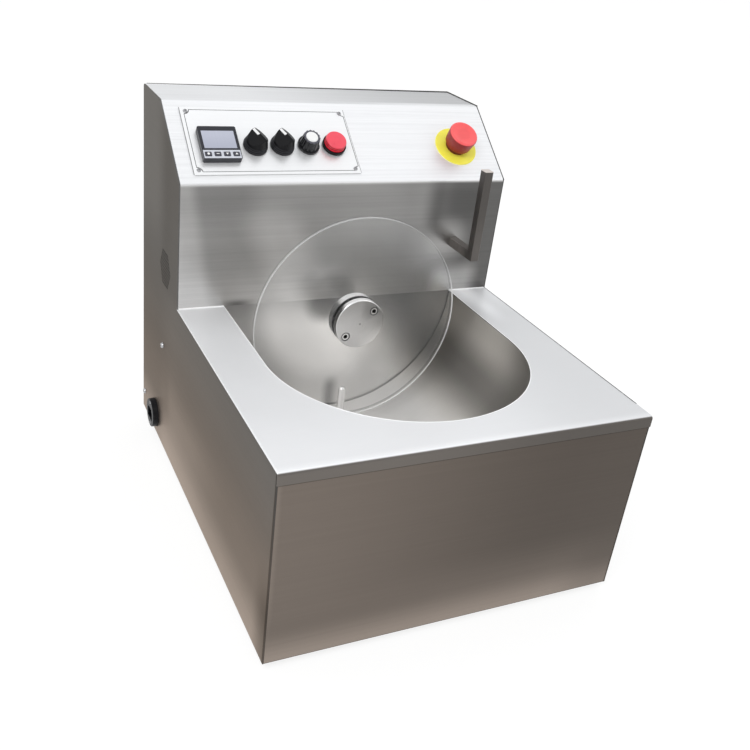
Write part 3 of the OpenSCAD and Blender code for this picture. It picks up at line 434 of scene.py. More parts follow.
def front_fade(place):
    """Painted light and shade: the front panel is lighter to the left, along its left bend and near
    its lower edge, but not at its right end. A painted shadow darkens the joint under the lip and the
    bottom edge."""
    across, height = axis(place, "X"), axis(place, "Z")
    left_bend = ramp(across, front_low.x, front_low.x + 0.007, 0.22, 0.0)
    side = ramp(across, -0.22, 0.14, 1.14, 0.63) + left_bend
    # Painted shadow in the joint under the lip.
    joint = ramp(height, lip_foot - 0.0022, lip_foot - 0.0008, 1.0, 0.35)
    # Painted shadow along the bottom edge.
    bottom_shade = ramp(height, front_low.z + 0.0004, front_low.z + 0.0016, 0.4, 1.0)
    near_foot = ramp(height, 0.03, 0.11, 1.0, 0.0)
    foot_glow = ramp(height, 0.004, 0.056, 0.93, 0.0)
    right_end = 1.0 - near_foot * ramp(across, 0.13, 0.21, 0.0, 0.26)
    return (side + near_foot * (1.10 - side) + foot_glow) * right_end * joint * bottom_shade


def side_fade(place):
    """Painted light and shade: the side panels are lighter low down. Up the tower they are darker near
    its face and lighter towards the back. A dark seam runs along the front edge."""
    along, height = axis(place, "Y"), axis(place, "Z")
    low = ramp(height, 0.010, 0.085, 1.15, 0.0) + ramp(height, 0.05, 0.24, 0.5, 0.0)
    glow = ramp(height, 0.055, 0.13, 0.36, 0.0) * hump(along, (-0.08, 0.10), (0.15, 0.19))
    band = 0.32 * bands(height, [0.098], 0.055) * hump(along, (-0.14, 0.02), (0.115, 0.145))
    low = low + glow + band + ramp(height, 0.16, 0.21, 0.0, 0.13)
    back = ramp(along, 0.10, 0.20, 0.0, 0.18) * ramp(height, 0.04, 0.08)
    tower = ramp(height, 0.235, 0.27) * ramp(along, 0.15, 0.20, 0.20, 0.0)
    crown = ramp(height, 0.26, 0.38, 0.0, 0.32) * ramp(along, 0.13, 0.22)
    corner = ramp(along, -0.278, -0.235, 0.45, 0.0) * ramp(height, 0.06, 0.14, 1.0, 0.0)
    seam = ramp(along, side_low.y + 0.0010, side_low.y + 0.0040, 0.4, 1.0)
    return (0.97 + low - back - tower + crown) * (1.0 - corner) * seam


def side_tone(place):
    """Warm near the table and cooler up the tower, both dark as painted shade on an upright sheet."""
    warm = (0.193, 0.165, 0.145, 1)
    cool = (0.172, 0.172, 0.170, 1)
    return blend(ramp(axis(place, "Z"), 0.10, 0.30), warm, cool)


# The front panel's dark tone is painted shade on an upright sheet.
panel_tone = (0.154, 0.130, 0.112)
dim_edge = (0.5, 0.47, 0.44, 1)
rear_tone = (0.24, 0.225, 0.21)
zinc_tone = (0.55, 0.57, 0.60)
panel_steel = finish(
    "front panel steel", brushed(panel_tone, along_x, roughness=0.36, fade=front_fade), Metallic=1.0
)
side_steel = finish(
    "side panel steel", brushed(side_tone, along_y, roughness=0.38, fade=side_fade), Metallic=1.0,
    Specular_Tint=dim_edge,
)
rear_steel = finish("rear cover steel", brushed(rear_tone, along_x, roughness=0.38), Metallic=1.0)
tray_steel = finish(
    "zinc plated tray", brushed(zinc_tone, along_y, roughness=0.42, cloud=0.3), Metallic=1.0
)
print("four brushed sheets")

# %% [markdown]
# The tower is one folded sheet. Its upright face is polished finer and mirrors the room more. Its
# tone is painted much darker than the slanted panel and the flat top, which face the light: painted
# shade on the face and painted light above it. Its tone follows the height, and on the face also
# the distance from the right side and from the deck.

# %% Tower steel
tower_low, tower_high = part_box("tower_sheet")
fold_to_plate = 0.012
slope_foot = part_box("control_plate")[0].z - fold_to_plate


def tower_face(place):
    """1 on the upright face of the tower and 0 above its fold."""
    return ramp(axis(place, "Z"), slope_foot, slope_foot + 0.006, 1.0, 0.0)


def tower_fade(place):
    """Painted light and shade: the face is lighter to the left and low down, with a leaning bright band
    and soft painted lights by the hub and the holder, and a painted shadow where it meets the deck.
    The top darkens to the right."""
    across, along, height = (axis(place, letter) for letter in "XYZ")
    right = ramp(across, -0.01, 0.18)
    low = ramp(height, deck_top, deck_top + 0.065, 1.0, 0.0)
    middle = ramp(height, 0.335, 0.395, 1.0, 0.0)
    left_edge = ramp(across + 0.16 * height, -0.1525, -0.133, 0.16, 0.0)
    bright_band = hump(across + 0.45 * (height - 0.30), (-0.135, -0.085), (-0.065, -0.020))
    corner = ramp(height, 0.27, 0.30, 1.0, 0.0) * hump(across, (0.12, 0.15), (0.185, 0.215))
    upper = ramp(height, 0.33, 0.38) * hump(across, (-0.15, -0.11), (0.12, 0.15))
    bar_side = ramp(height, 0.27, 0.32) * bands(across, [0.118], 0.040)
    hub_side = spot(place, -0.014, 0.266, 0.005, 0.040, 0.13)
    foot_side = spot(place, 0.148, 0.326, 0.004, 0.044, 0.22)
    # The face gets painted shade, with painted lights and reflections laid over it.
    face_tone = 0.29 - 0.15 * right + (0.18 * middle + 0.16 * low) * (1.0 - right)
    face_tone = face_tone + left_edge + 0.25 * bright_band * middle + 0.30 * corner
    face_tone = face_tone + 0.075 * upper + 0.09 * bar_side + hub_side + foot_side
    # Painted shadow where the face meets the deck at the left corner of the bowl.
    joint = ramp(height, deck_top + 0.002, deck_top + 0.011, 0.62, 0.0) * bands(across, [-0.148], 0.034)
    right_top = ramp(height, 0.345, 0.368, 0.0, 0.22) * ramp(height, 0.394, 0.405, 1.0, 0.2)
    right_top = right_top * hump(across, (0.10, 0.128), (0.185, 0.208))
    left_dim = ramp(across, -0.16, -0.10, 0.88, 0.93)
    face_tone = face_tone * (1.0 - joint) * (1.0 - right_top) * left_dim
    top = ramp(height, tower_high.z - 0.0012, tower_high.z - 0.0003)
    fold_light = ramp(along, 0.197, 0.207, 0.30, 0.0) * ramp(across, -0.02, 0.17)
    top_tone = ramp(across, -0.18, 0.2, -0.13, -0.43) + fold_light
    # Above the fold the tone is painted light.
    upper_tone = ramp(across, -0.20, -0.10, 0.935, 0.975) + top * top_tone
    return upper_tone + tower_face(place) * (face_tone - upper_tone)


def tower_worn(place):
    """Above the fold the sheet is brushed rougher."""
    return (1.0 - tower_face(place)) * 0.10


def tower_tone(place):
    """A warmer grey on the face, a cooler white above it."""
    return blend(tower_face(place), (0.965, 0.97, 0.98, 1), (0.985, 0.97, 0.95, 1))


def tower_metal(place):
    """Above the fold the satin sheet mirrors less."""
    return 0.55 + 0.45 * tower_face(place)


tower_steel = finish("tower steel", brushed(
    tower_tone, along_x, roughness=0.34, cloud=0.07, scratch=0.20, fade=tower_fade, worn=tower_worn,
    metal=tower_metal,
))
print("tower steel, with its face up to", round(slope_foot, 4))

# %% [markdown]
# The deck is one sheet: its satin top is painted bright as light, and its lip is painted dark as
# shade where it turns down over the front panel, which is painted darker too. One material covers
# both, with the height above the table choosing the tone.

# %% Deck steel
lip_fold = 0.0013
# The lip's dark tone is painted shade, and the deck's bright tone is painted light.
lip_tone = (0.165, 0.150, 0.137, 1)
deck_tone = (0.88, 0.885, 0.895, 1)


def deck_sheet(place):
    """Painted light and shade: the top is lighter to the left and along its edges, and the lip is darker to the
    right.
    """
    across, along = axis(place, "X"), axis(place, "Y")
    folded = ramp(axis(place, "Z"), deck_top - lip_fold, deck_top - 0.0002, 1.0, 0.0)
    top_fade = ramp(across, -0.06, 0.19, 0.975, 0.815)
    top_fade = top_fade + ramp(along, -0.20, 0.02, 0.0, 0.12) * ramp(across, -0.2, 0.0, 1.0, 0.0)
    back_end = ramp(along, 0.0, 0.085)
    top_fade = top_fade + back_end * ramp(across, -0.05, 0.15, -0.10, 0.14)
    top_fade = top_fade + ramp(along, deck_low.y + 0.002, deck_low.y + 0.014, 0.10, 0.0)
    top_fade = top_fade + ramp(across, deck_low.x + 0.0008, deck_low.x + 0.0026, 0.12, 0.0)
    top_fade = top_fade + bands(across, [0.187], 0.022) * ramp(along, -0.03, 0.04, 0.0, 0.20)
    lip_fade = ramp(across, -0.12, 0.14, 1.0, 0.68)
    hair = noise(stretched(place, [4 * x for x in along_x]), 1.0, 3.0, 0.6)
    clouds = noise(place, 7.0, 3.0, 0.55)
    shade = 1.0 + 0.07 * (hair - 0.5) + 0.07 * (clouds - 0.5)
    shade = shade * (top_fade + folded * (lip_fade - top_fade))
    return {
        "Base Color": toned(shade, blend(folded, deck_tone, lip_tone)),
        "Metallic": 0.6 + 0.4 * folded - 0.4 * back_end * ramp(across, 0.0, 0.15),
        "Roughness": 0.44 + 0.14 * (hair - 0.5) + 0.10 * (clouds - 0.5),
        "Normal": bumped(hair, 0.2, 0.00004),
    }


deck_steel = finish("deck steel", deck_sheet)
rounded("deck_pan", "deck_sheet", deck_steel, radius=0.0003)
rounded("tower_sheet", "tower_skin", tower_steel, radius=0.0003)
rounded("front_panel", "front_sheet", panel_steel, radius=0.0004)
for node in ("side_panel_left", "side_panel_right"):
    coated(node, side_steel)
for node in ("rear_cover", "base_plate"):
    coated(node, rear_steel)

# %% [markdown]
# The bowl is pressed and polished by hand, so its marks run round it rather than straight.
# Noise that is fine from front to back and coarse round the bowl gives the marks, and slow noise
# gives the patchy sheen of a satin finish.

# %% Bowl
wall_front = 0.093


def satin_bowl(place):
    """Painted light and shade: the back wall is bright on the left and falls off to the right, with a
    painted shadow of the hub and a painted reflection of the probe. The trough is bright at its bottom
    and near its rim and darker on its right flank. A dark seam shows where the wall is let in."""
    across, along, height = (axis(place, letter) for letter in "XYZ")
    rub = noise(stretched(place, (60.0, 700.0, 60.0)), 1.0, 3.0, 0.6)
    patch = noise(place, 9.0, 3.0, 0.6)
    far = apart(place, (0, 0, deck_top), (1, 0, 1))
    wall = ramp(along, wall_front - 0.0012, wall_front - 0.0004)
    left = ramp(across, -0.11, -0.04, 0.52, 0.30) * ramp(across, 0.0, 0.08, 1.0, 0.0)
    wall_tone = ramp(across + 0.64 * (height - 0.13), 0.024, 0.174, 0.975, 0.253)
    wall_tone = wall_tone * ramp(height, 0.206, 0.275, 1.0, 0.55) * ramp(far, 0.1624, 0.1634, 1.0, 0.86)
    low_right = ramp(across, 0.0, 0.06, 0.0, 0.34) * ramp(height, 0.15, 0.21, 1.0, 0.0)
    hub_shadow = spot(place, -0.026, 0.244, 0.012, 0.036, 0.50)
    # Painted reflection of the probe: a dark streak on the wall beside it.
    probe_reflection = bands(across, [-0.005], 0.016) * ramp(height, 0.115, 0.138, 0.52, 0.0)
    for dark in (left * ramp(far, 0.0935, 0.1394), low_right, hub_shadow, probe_reflection):
        wall_tone = wall_tone * (1.0 - dark)
    rim = ramp(height, 0.183, 0.227, 0.0, 0.48) * ramp(along, -0.11, -0.02, 0.26, 1.0)
    flank = ramp(height, 0.112, 0.172, 0.0, 0.67) - rim
    trough_tone = 1.02 - flank * ramp(across, -0.04, 0.06)
    shade = trough_tone + wall * (wall_tone - trough_tone)
    warm = blend(ramp(across, 0.08, 0.14), (1.0, 0.985, 0.965, 1), (1.0, 0.965, 0.91, 1))
    low = (1.0 - wall) * ramp(height, 0.10, 0.15, 1.0, 0.0) * ramp(across, -0.02, 0.03)
    return {
        "Base Color": toned(shade * (0.96 + 0.10 * (patch - 0.5) + 0.08 * (rub - 0.5)), warm),
        "Metallic": 1.0 - 0.30 * low,
        "Roughness": 0.38 + 0.10 * (rub - 0.5) + 0.14 * (patch - 0.5),
        "Normal": bumped(rub, 0.2, 0.00004),
    }


bowl_steel = finish("satin bowl steel", satin_bowl)
rounded("tank_bowl", "bowl_shell", bowl_steel, radius=0.0002)

# %% [markdown]
# What repeats or follows a path is grown by Geometry Nodes. Each tree is built here with named
# inputs, and the modifier's values are set through the identifiers of those inputs. The result
# becomes a plain mesh, because the exporter does not keep instances.


# %% Growing meshes from trees
def new_tree(name, **inputs):
    """An empty tree with named inputs. Gives its root and a Socket for each input."""
    tree = bpy.data.node_groups.new(name, "GeometryNodeTree")
    tree.interface.new_socket("Result", in_out="OUTPUT", socket_type="NodeSocketGeometry")
    for label, kind in inputs.items():
        tree.interface.new_socket(label, in_out="INPUT", socket_type="NodeSocket" + kind)
    entry = tree.nodes.new("NodeGroupInput")
    return Socket(tree), {label: Socket(tree, entry.outputs[label]) for label in inputs}


def end_tree(shape, material):
    whole = shape.node("GeometryNodeRealizeInstances", None, {"Geometry": shape})
    painted = shape.node("GeometryNodeSetMaterial", None, {"Geometry": whole, "Material": material})
    leave = shape.tree.nodes.new("NodeGroupOutput")
    shape.tree.links.new(painted.socket, leave.inputs["Result"])
    return shape.tree


def grown(tree, values, seed_points=(), seed_edges=()):
    """The mesh that a tree makes of its values, and of a path if one is given."""
    mesh = bpy.data.meshes.new("seed")
    mesh.from_pydata(seed_points, seed_edges, [])
    carrier = bpy.data.objects.new("seed", mesh)
    scene.collection.objects.link(carrier)
    modifier = carrier.modifiers.new(tree.name, "NODES")
    modifier.node_group = tree
    for item in tree.interface.items_tree:
        if item.in_out == "INPUT" and item.name in values:
            modifier[item.identifier] = values[item.name]
    return plain_mesh(carrier)


root, take = new_tree(
    "Bead on a path", Path="Geometry", Width="Float", Height="Float", Round="Float", Taper="Float",
    Paint="Material",
)
path = root.node("GeometryNodeMeshToCurve", None, {"Mesh": take["Path"]})
level = root.node("GeometryNodeSetCurveNormal", {"mode": "Z_UP"}, {"Curve": path})
section = root.node(
    "GeometryNodeCurvePrimitiveQuadrilateral", None, {"Width": take["Width"], "Height": take["Height"]}
)
soft_section = root.node(
    "GeometryNodeFilletCurve", None, {"Curve": section, "Radius": take["Round"]}
)
share = root.node("GeometryNodeSplineParameter", output="Factor")
left_over = 1.0 - share * take["Taper"]
bead = root.node(
    "GeometryNodeCurveToMesh", None,
    {"Curve": level, "Profile Curve": soft_section, "Scale": left_over, "Fill Caps": True},
)
path_bead = end_tree(bead, take["Paint"])
print("tree", path_bead.name)

# %% [markdown]
# The wheel is a disc of clear plastic. A section swept round a circle makes it, so that its rim
# can be rounded. A thin clear sheet hardly bends the light, so it is drawn with a low alpha. The
# rim is frosted where the cutter left its marks. Its front edge carries a painted highlight and
# its back edge a painted dark line.

# %% Clear wheel
root, take = new_tree(
    "Turned ring", Outer="Float", Bore="Float", Thick="Float", Round="Float", Steps="Int",
    Paint="Material",
)
middle = (take["Outer"] + take["Bore"]) * 0.5
path = root.node(
    "GeometryNodeCurvePrimitiveCircle", None, {"Resolution": take["Steps"], "Radius": middle}
)
level = root.node("GeometryNodeSetCurveNormal", {"mode": "Z_UP"}, {"Curve": path})
section = root.node(
    "GeometryNodeCurvePrimitiveQuadrilateral", None,
    {"Width": take["Outer"] - take["Bore"], "Height": take["Thick"]},
)
soft_section = root.node(
    "GeometryNodeFilletCurve", {"mode": "POLY"}, {"Curve": section, "Radius": take["Round"], "Count": 3}
)
swept = root.node("GeometryNodeCurveToMesh", None, {"Curve": level, "Profile Curve": soft_section})
turned_ring = end_tree(swept, take["Paint"])

wheel_axis = Vector(joints["wheel_spin"]["pos_m"])
disc_low, disc_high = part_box("wheel_disc")
disc_radius = (disc_high.x - disc_low.x) / 2
disc_bore = 0.0131
disc_round = 0.0008
disc_steps = 240


def from_axis(place):
    """Distance from the axis of the wheel, which runs from front to back."""
    return apart(place, wheel_axis, (1, 0, 1))


def clear_plastic(place):
    """Clear faces and a frosted rim, with a painted highlight along its front edge that is fainter at the upper
    right, and a painted dark line along its back edge.
    """
    right, upward = axis(place, "X") - wheel_axis.x, axis(place, "Z") - wheel_axis.z
    low_right = ramp(right - upward, -0.02, 0.13)
    faint = ramp(0.69 * right + 0.72 * upward, 0.81 * disc_radius, 0.95 * disc_radius, 1.0, 0.45)
    rim = ramp(from_axis(place) + 0.0014 * low_right, disc_radius - 0.0013, disc_radius - 0.0005)
    deep = axis(place, "Y")
    # Painted highlight on the rim's front edge and a painted dark line on its back edge.
    front_edge = rim * ramp(deep, disc_low.y + 0.0010, disc_low.y + 0.0018, 1.0, 0.0)
    back_edge = rim * ramp(deep, disc_high.y - 0.0016, disc_high.y - 0.0010)
    lit = (ramp(upward, -0.03, 0.09, 0.62, 0.24) + 0.16 * low_right) * faint
    scuff = noise(stretched(place, (300.0, 40.0, 300.0)), 1.0, 3.0, 0.6)
    return {
        "Base Color": blend(back_edge, (0.92, 0.93, 0.93, 1), (0.16, 0.16, 0.16, 1)),
        "Roughness": 0.03 + 0.05 * scuff + 0.30 * rim,
        "Alpha": 0.046 + 0.008 * scuff + 0.06 * rim + lit * front_edge + 0.20 * back_edge,
    }


clear_disc = finish("clear wheel plastic", clear_plastic, IOR=1.49)
ring = grown(turned_ring, {
    "Outer": disc_radius, "Bore": disc_bore, "Thick": disc_high.y - disc_low.y,
    "Round": disc_round, "Steps": disc_steps, "Paint": clear_disc,
})
disc_middle = Vector((wheel_axis.x, (disc_low.y + disc_high.y) / 2, wheel_axis.z))
ring.transform(Matrix.Translation(disc_middle) @ Matrix.Rotation(-math.pi / 2, 4, "X"))
ring.shade_smooth()
ring.set_sharp_from_angle(angle=math.radians(40))
shown("clear_wheel", ring, clear_disc, "wheel", ["wheel_disc"])

# %% [markdown]
# The hub is turned on a lathe, and the tool leaves fine rings. Rings are noise that depends only
# on the distance from the axis. They spread each highlight into the two bright wedges that a
# turned face shows.


# %% Turned hub
def turned_steel(tone, roughness, keep, centre, fade=None, metal=None):
    """Recipe of lathe-turned steel. The axis runs along the direction that keep leaves out."""

    def recipe(place):
        far = apart(place, centre, keep)
        rings = far.node(
            "ShaderNodeTexNoise", {"noise_dimensions": "1D"},
            {"W": far, "Scale": 2600.0, "Detail": 3.0}, "Fac",
        )
        clouds = noise(place, 40.0)
        shade = 0.94 + 0.14 * (rings - 0.5) + 0.08 * clouds
        if fade:
            shade = shade * fade(place)
        inputs = {
            "Base Color": toned(shade, tone),
            "Roughness": roughness + 0.12 * (rings - 0.5),
            "Normal": bumped(rings, 0.35, 0.00006),
        }
        if metal:
            inputs["Metallic"] = metal(place)
        return inputs

    return recipe


hub_low, hub_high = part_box("clamp_plate")
hub_radius = (hub_high.x - hub_low.x) / 2
never_zero = 0.0001


def hub_parts(place):
    """The distance from the axis, the places to the right and above it, how far a point faces
    up, and 1 on the rims."""
    far = from_axis(place)
    right, upward = axis(place, "X") - wheel_axis.x, axis(place, "Z") - wheel_axis.z
    facing = (0.99 * upward - 0.12 * right) / (far + never_zero)
    return far, right, upward, facing, ramp(far, hub_radius - 0.0006, hub_radius - 0.0002)


def hub_fade(place):
    """Painted light and shade: the faces are lighter at the left, with a dark wedge at the upper right.
    The bevels carry a painted highlight where they face up, the rims are painted bright at the top and
    dark at the sides, a centre mark is left by the drill, and the faces that clamp the wheel get
    painted shade."""
    far, right, upward, facing, rim = hub_parts(place)
    along = axis(place, "Y")
    wedge = ramp((0.82 * upward + 0.57 * right) / (far + never_zero), 0.78, 0.97)
    wedge = wedge * ramp(far, 0.003, 0.018, 0.0, 0.20)
    centre_mark = ramp(far, 0.0010, 0.0018, 0.45, 0.0)
    face = ramp(0.66 * upward - 0.75 * right, -0.027, 0.027, 0.68, 1.20) - wedge - centre_mark
    # Painted highlight on the bevels, strongest where they face up.
    bevel_highlight = ramp(far, hub_radius - 0.0016, hub_radius - 0.0009) * ramp(facing, 0.2, 0.8, 0.10, 0.60)
    rim_tone = ramp(facing, 0.70, 0.92, 0.20, 1.65) + ramp(facing, -0.50, -0.15, 1.1, 0.0)
    clamped = hump(
        along, (disc_low.y - 0.0006, disc_low.y - 0.0002), (disc_high.y + 0.0002, disc_high.y + 0.0006)
    )
    return (face + bevel_highlight + rim * (rim_tone - face - bevel_highlight)) * (1.0 - 0.8 * clamped)


def hub_metal(place):
    """The rims mirror less where they face up."""
    _, _, _, facing, rim = hub_parts(place)
    return 1.0 - rim * ramp(facing, 0.70, 0.92, 0.0, 0.7)


hub_steel = finish(
    "turned hub steel",
    turned_steel((0.60, 0.595, 0.59), 0.30, (1, 0, 1), wheel_axis, hub_fade, hub_metal),
)
rounded("hub_flange", "hub_back", hub_steel, radius=0.0007, steps=3)
rounded("clamp_plate", "hub_front", hub_steel, radius=0.0005, steps=3)
rounded("drive_shaft", "wheel_shaft", hub_steel, radius=0.0003)


def bright_screw(place):
    grit = noise(place, 900.0, 3.0)
    grime = noise(place, 160.0)
    return {
        "Base Color": toned(0.8 + 0.3 * grime, (0.46, 0.46, 0.47)),
        "Roughness": 0.24 + 0.16 * grit,
        "Normal": bumped(grit, 0.12, 0.00003),
    }


screw_steel = finish("bright screw steel", bright_screw, Metallic=1.0)
screw_points = [vertex.co for vertex in frame["nodes"]["clamp_screws"].data.vertices]
screw_middles = []
for right_one in (False, True):
    near = [point for point in screw_points if (point.x > wheel_axis.x) == right_one]
    screw_middles.append(Vector([
        (min(point[k] for point in near) + max(point[k] for point in near)) / 2 for k in range(3)
    ]))


def socket_screw(place):
    """A bright head round a socket that is painted dark as shade, and darker towards its outer edge as painted
    shade of its counterbore.
    """
    gaps = [apart(place, screw_middle, (1, 0, 1)) for screw_middle in screw_middles]
    near = gaps[0].math("MINIMUM", *gaps)
    # Painted shade: the socket and the edge of the head are drawn dark.
    head = ramp(near, 0.0026, 0.0031)
    edge = ramp(near, 0.0042, 0.0048, 1.0, 0.25)
    grit = noise(place, 900.0, 3.0)
    return {
        "Base Color": toned((0.03 + 0.75 * head * edge) * (0.9 + 0.2 * grit), (1.0, 0.99, 0.98)),
        "Roughness": 0.26 + 0.14 * grit,
    }


# Screw steel with painted shade in its sockets.
socket_screw_shaded = finish("socket screw steel", socket_screw, Metallic=1.0)
rounded("clamp_screws", "hub_screws", socket_screw_shaded, radius=0.0002)

# %% [markdown]
# The controls stand on the slanted panel. Their joints give the panel's own directions: the axis
# of a knob points out of the panel, and across it lies the direction up the slope. A matrix from
# these puts flat work, drawn in X and Y, onto the panel.

# %% Directions of the panel
knob_row = Vector(joints["speed_turn"]["pos_m"])
panel_out = Vector(joints["speed_turn"]["axis"]).normalized()
panel_right = Vector((1, 0, 0))
panel_up = panel_out.cross(panel_right)
plate_thick = 0.0012
bezel_tall = 0.008
bezel_steps = 3


def middle_x(node):
    low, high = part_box(node)
    return (low.x + high.x) / 2


def on_panel(x, lift=0.0, rise=0.0):
    """Matrix from flat work to the panel, at a place in the row of controls."""
    place = Vector((x, knob_row.y, knob_row.z)) + lift * panel_out + rise * panel_up
    turn = Matrix((panel_right, panel_up, panel_out)).transposed().to_4x4()
    return Matrix.Translation(place) @ turn


def top_lift(node):
    """How far the top of a control stands above the panel."""
    points = [vertex.co for vertex in frame["nodes"][node].data.vertices]
    return max((point - knob_row).dot(panel_out) for point in points)


print("panel leans", round(math.degrees(math.acos(panel_out.z)), 1), "degrees")

# %% [markdown]
# The control plate is fine brushed and very bright. A thin dark line runs round it and steps
# inwards round each screw. The line is a path with a quarter circle at each corner, and the bead
# tree lays a flat ribbon along it.

# %% Control plate
plate_low, plate_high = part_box("control_plate")
plate_middle = (plate_low + plate_high) / 2
plate_wide = plate_high.x - plate_low.x
box_excess = 0.0002
plate_tall = math.hypot(plate_high.y - plate_low.y, plate_high.z - plate_low.z) - box_excess
plate_rise = (plate_middle - knob_row).dot(panel_up)


def along_panel(place, direction, start):
    """Distance from a starting point, measured along a direction."""
    shift = place.node("ShaderNodeVectorMath", {"operation": "SUBTRACT"}, {0: place, 1: start})
    inputs = {0: shift, 1: direction}
    return shift.node("ShaderNodeVectorMath", {"operation": "DOT_PRODUCT"}, inputs, "Value")


def plate_fade(place):
    """The edges of the plate are painted dark, as the shadow of the gap round it."""
    up = along_panel(place, panel_up, plate_middle)
    across = axis(place, "X") - plate_middle.x
    near_side = across.math("ABSOLUTE", across) - plate_wide / 2
    near_end = up.math("ABSOLUTE", up) - plate_tall / 2
    outside = near_side.math("MAXIMUM", near_side, near_end)
    return ramp(outside, -0.0007, -0.0003, 1.0, 0.22)


# The plate's very bright tone is painted light, like the slanted panel round it.
plate_tone = (0.965, 0.97, 0.975)
plate_steel = finish(
    "control plate steel",
    brushed(plate_tone, along_x, roughness=0.34, cloud=0.04, scratch=0.05, fade=plate_fade),
    Metallic=0.6,
)
rounded("control_plate", "control_face", plate_steel, radius=0.0001)
rounded("plate_screws", "control_face_screws", screw_steel, radius=0.00012)


def worn_ink(place):
    speck = noise(place, 1500.0)
    return {
        "Base Color": toned(0.6 + 0.8 * speck, (0.045, 0.045, 0.05)),
        "Roughness": 0.45 + 0.2 * speck,
    }


ink = finish("dark line ink", worn_ink)
line_inset = 0.005
right_inset = 0.002
line_wide = 0.0010
line_thick = 0.0001
line_round = 0.00002
notch = 0.0065
notch_steps = 8
left_x = line_inset - plate_wide / 2
right_x = plate_wide / 2 - right_inset
top_y = plate_tall / 2 - line_inset
corners = [(right_x, top_y), (left_x, top_y), (left_x, -top_y), (right_x, -top_y)]
line_points = []
for corner, (corner_x, corner_y) in enumerate(corners):
    for step in range(notch_steps + 1):
        angle = math.pi / 2 * (corner + 3 - step / notch_steps)
        line_points.append((
            corner_x + notch * math.cos(angle), corner_y + notch * math.sin(angle), 0
        ))
line_edges = [(i, (i + 1) % len(line_points)) for i in range(len(line_points))]
line_values = {"Width": line_wide, "Height": line_thick, "Round": line_round, "Paint": ink}
border = grown(path_bead, line_values, line_points, line_edges)
border.transform(on_panel(middle_x("control_plate"), plate_thick, plate_rise))
shown("control_face_line", border, ink, "cabinet")

# %% [markdown]
# Moulded plastic has a fine grain from its tool and a soft sheen. One recipe serves the bases,
# the knobs and the controller, with a tone and a roughness for each. Later cells use it for
# rubber, for the dark lines of painted gap shadow and for the white lines of painted weld
# highlight too, with a coarser grain.


# %% Moulded plastics
def moulded(tone, roughness, grain=2600.0, depth=0.12, fade=None):
    """Recipe of a moulded plastic part with a fine grain."""

    def recipe(place):
        fine = noise(place, grain, 2.0, 0.6)
        clouds = noise(place, 70.0)
        shade = 0.86 + 0.16 * clouds + 0.12 * fine
        if fade:
            shade = shade * fade(place)
        return {
            "Base Color": toned(shade, tone),
            "Roughness": roughness + 0.12 * (fine - 0.5) + 0.08 * (clouds - 0.5),
            "Normal": bumped(fine, depth, 0.00004),
        }

    return recipe


def base_step_highlights(place):
    """Painted highlights: the steps of a selector base are painted lighter on top."""
    steps = [plate_thick + bezel_tall * (k + 1) / bezel_steps for k in range(bezel_steps)]
    return 1.0 + 5.0 * bands(along_panel(place, panel_out, knob_row), steps, 0.0006)


def knob_rim_highlight(place):
    """Painted highlight: the top of the speed knob is painted lighter round its cap."""
    top = top_lift("speed_knob")
    return 1.0 + ramp(along_panel(place, panel_out, knob_row), top - 0.0010, top - 0.0003, 0.0, 9.0)


black = (0.008, 0.008, 0.009)
knob_black = (0.009, 0.009, 0.011)
bezel_black = (0.022, 0.023, 0.030)
black_plastic = finish("black plastic", moulded(black, 0.45), Specular_IOR_Level=0.12)
foot_plastic = finish("selector base", moulded(black, 0.45, fade=base_step_highlights), Specular_IOR_Level=0.12)
knob_plastic = finish("speed knob", moulded(knob_black, 0.26, fade=knob_rim_highlight), Specular_IOR_Level=0.4)
bezel_plastic = finish("controller plastic", moulded(bezel_black, 0.36), Specular_IOR_Level=0.35)
key_silver = finish("key strip film", moulded((0.63, 0.65, 0.71), 0.36), Metallic=0.15)
key_dark = finish("key rubber", moulded((0.045, 0.045, 0.06), 0.5))
mark_white = finish("white inlay", moulded((0.86, 0.86, 0.86), 0.4))
cap_white = finish("speed cap", moulded((0.86, 0.86, 0.85), 0.3), Coat_Weight=0.3)
print("eight moulded finishes")

# %% [markdown]
# The temperature controller is a square black bezel with a grey window, a silver strip and four
# keys. The keys carry plain signs: a dot, a bar and two arrows.


# %% Temperature controller
def dim_window(place):
    """A grey window with fine upright lines, a little lighter towards its top."""
    low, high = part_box("display_window")
    tint = blend(
        ramp(axis(place, "Z"), low.z, high.z), (0.43, 0.45, 0.55, 1), (0.51, 0.53, 0.63, 1)
    )
    lines = noise(stretched(place, (2400.0, 1.0, 1.0)), 1.0)
    return {
        "Base Color": toned(0.92 + 0.1 * (lines - 0.5), tint),
        "Roughness": 0.16 + 0.05 * lines,
    }


window_glass = finish("display window", dim_window, Coat_Weight=0.6)
rounded("controller_case", "controller_bezel", bezel_plastic, radius=0.0006, steps=3)
rounded("display_window", "controller_window", window_glass, radius=0.00015)
coated("key_strip", key_silver)
for number in range(1, 5):
    rounded("key_%d" % number, "controller_key_%d" % number, key_dark, radius=0.0003)

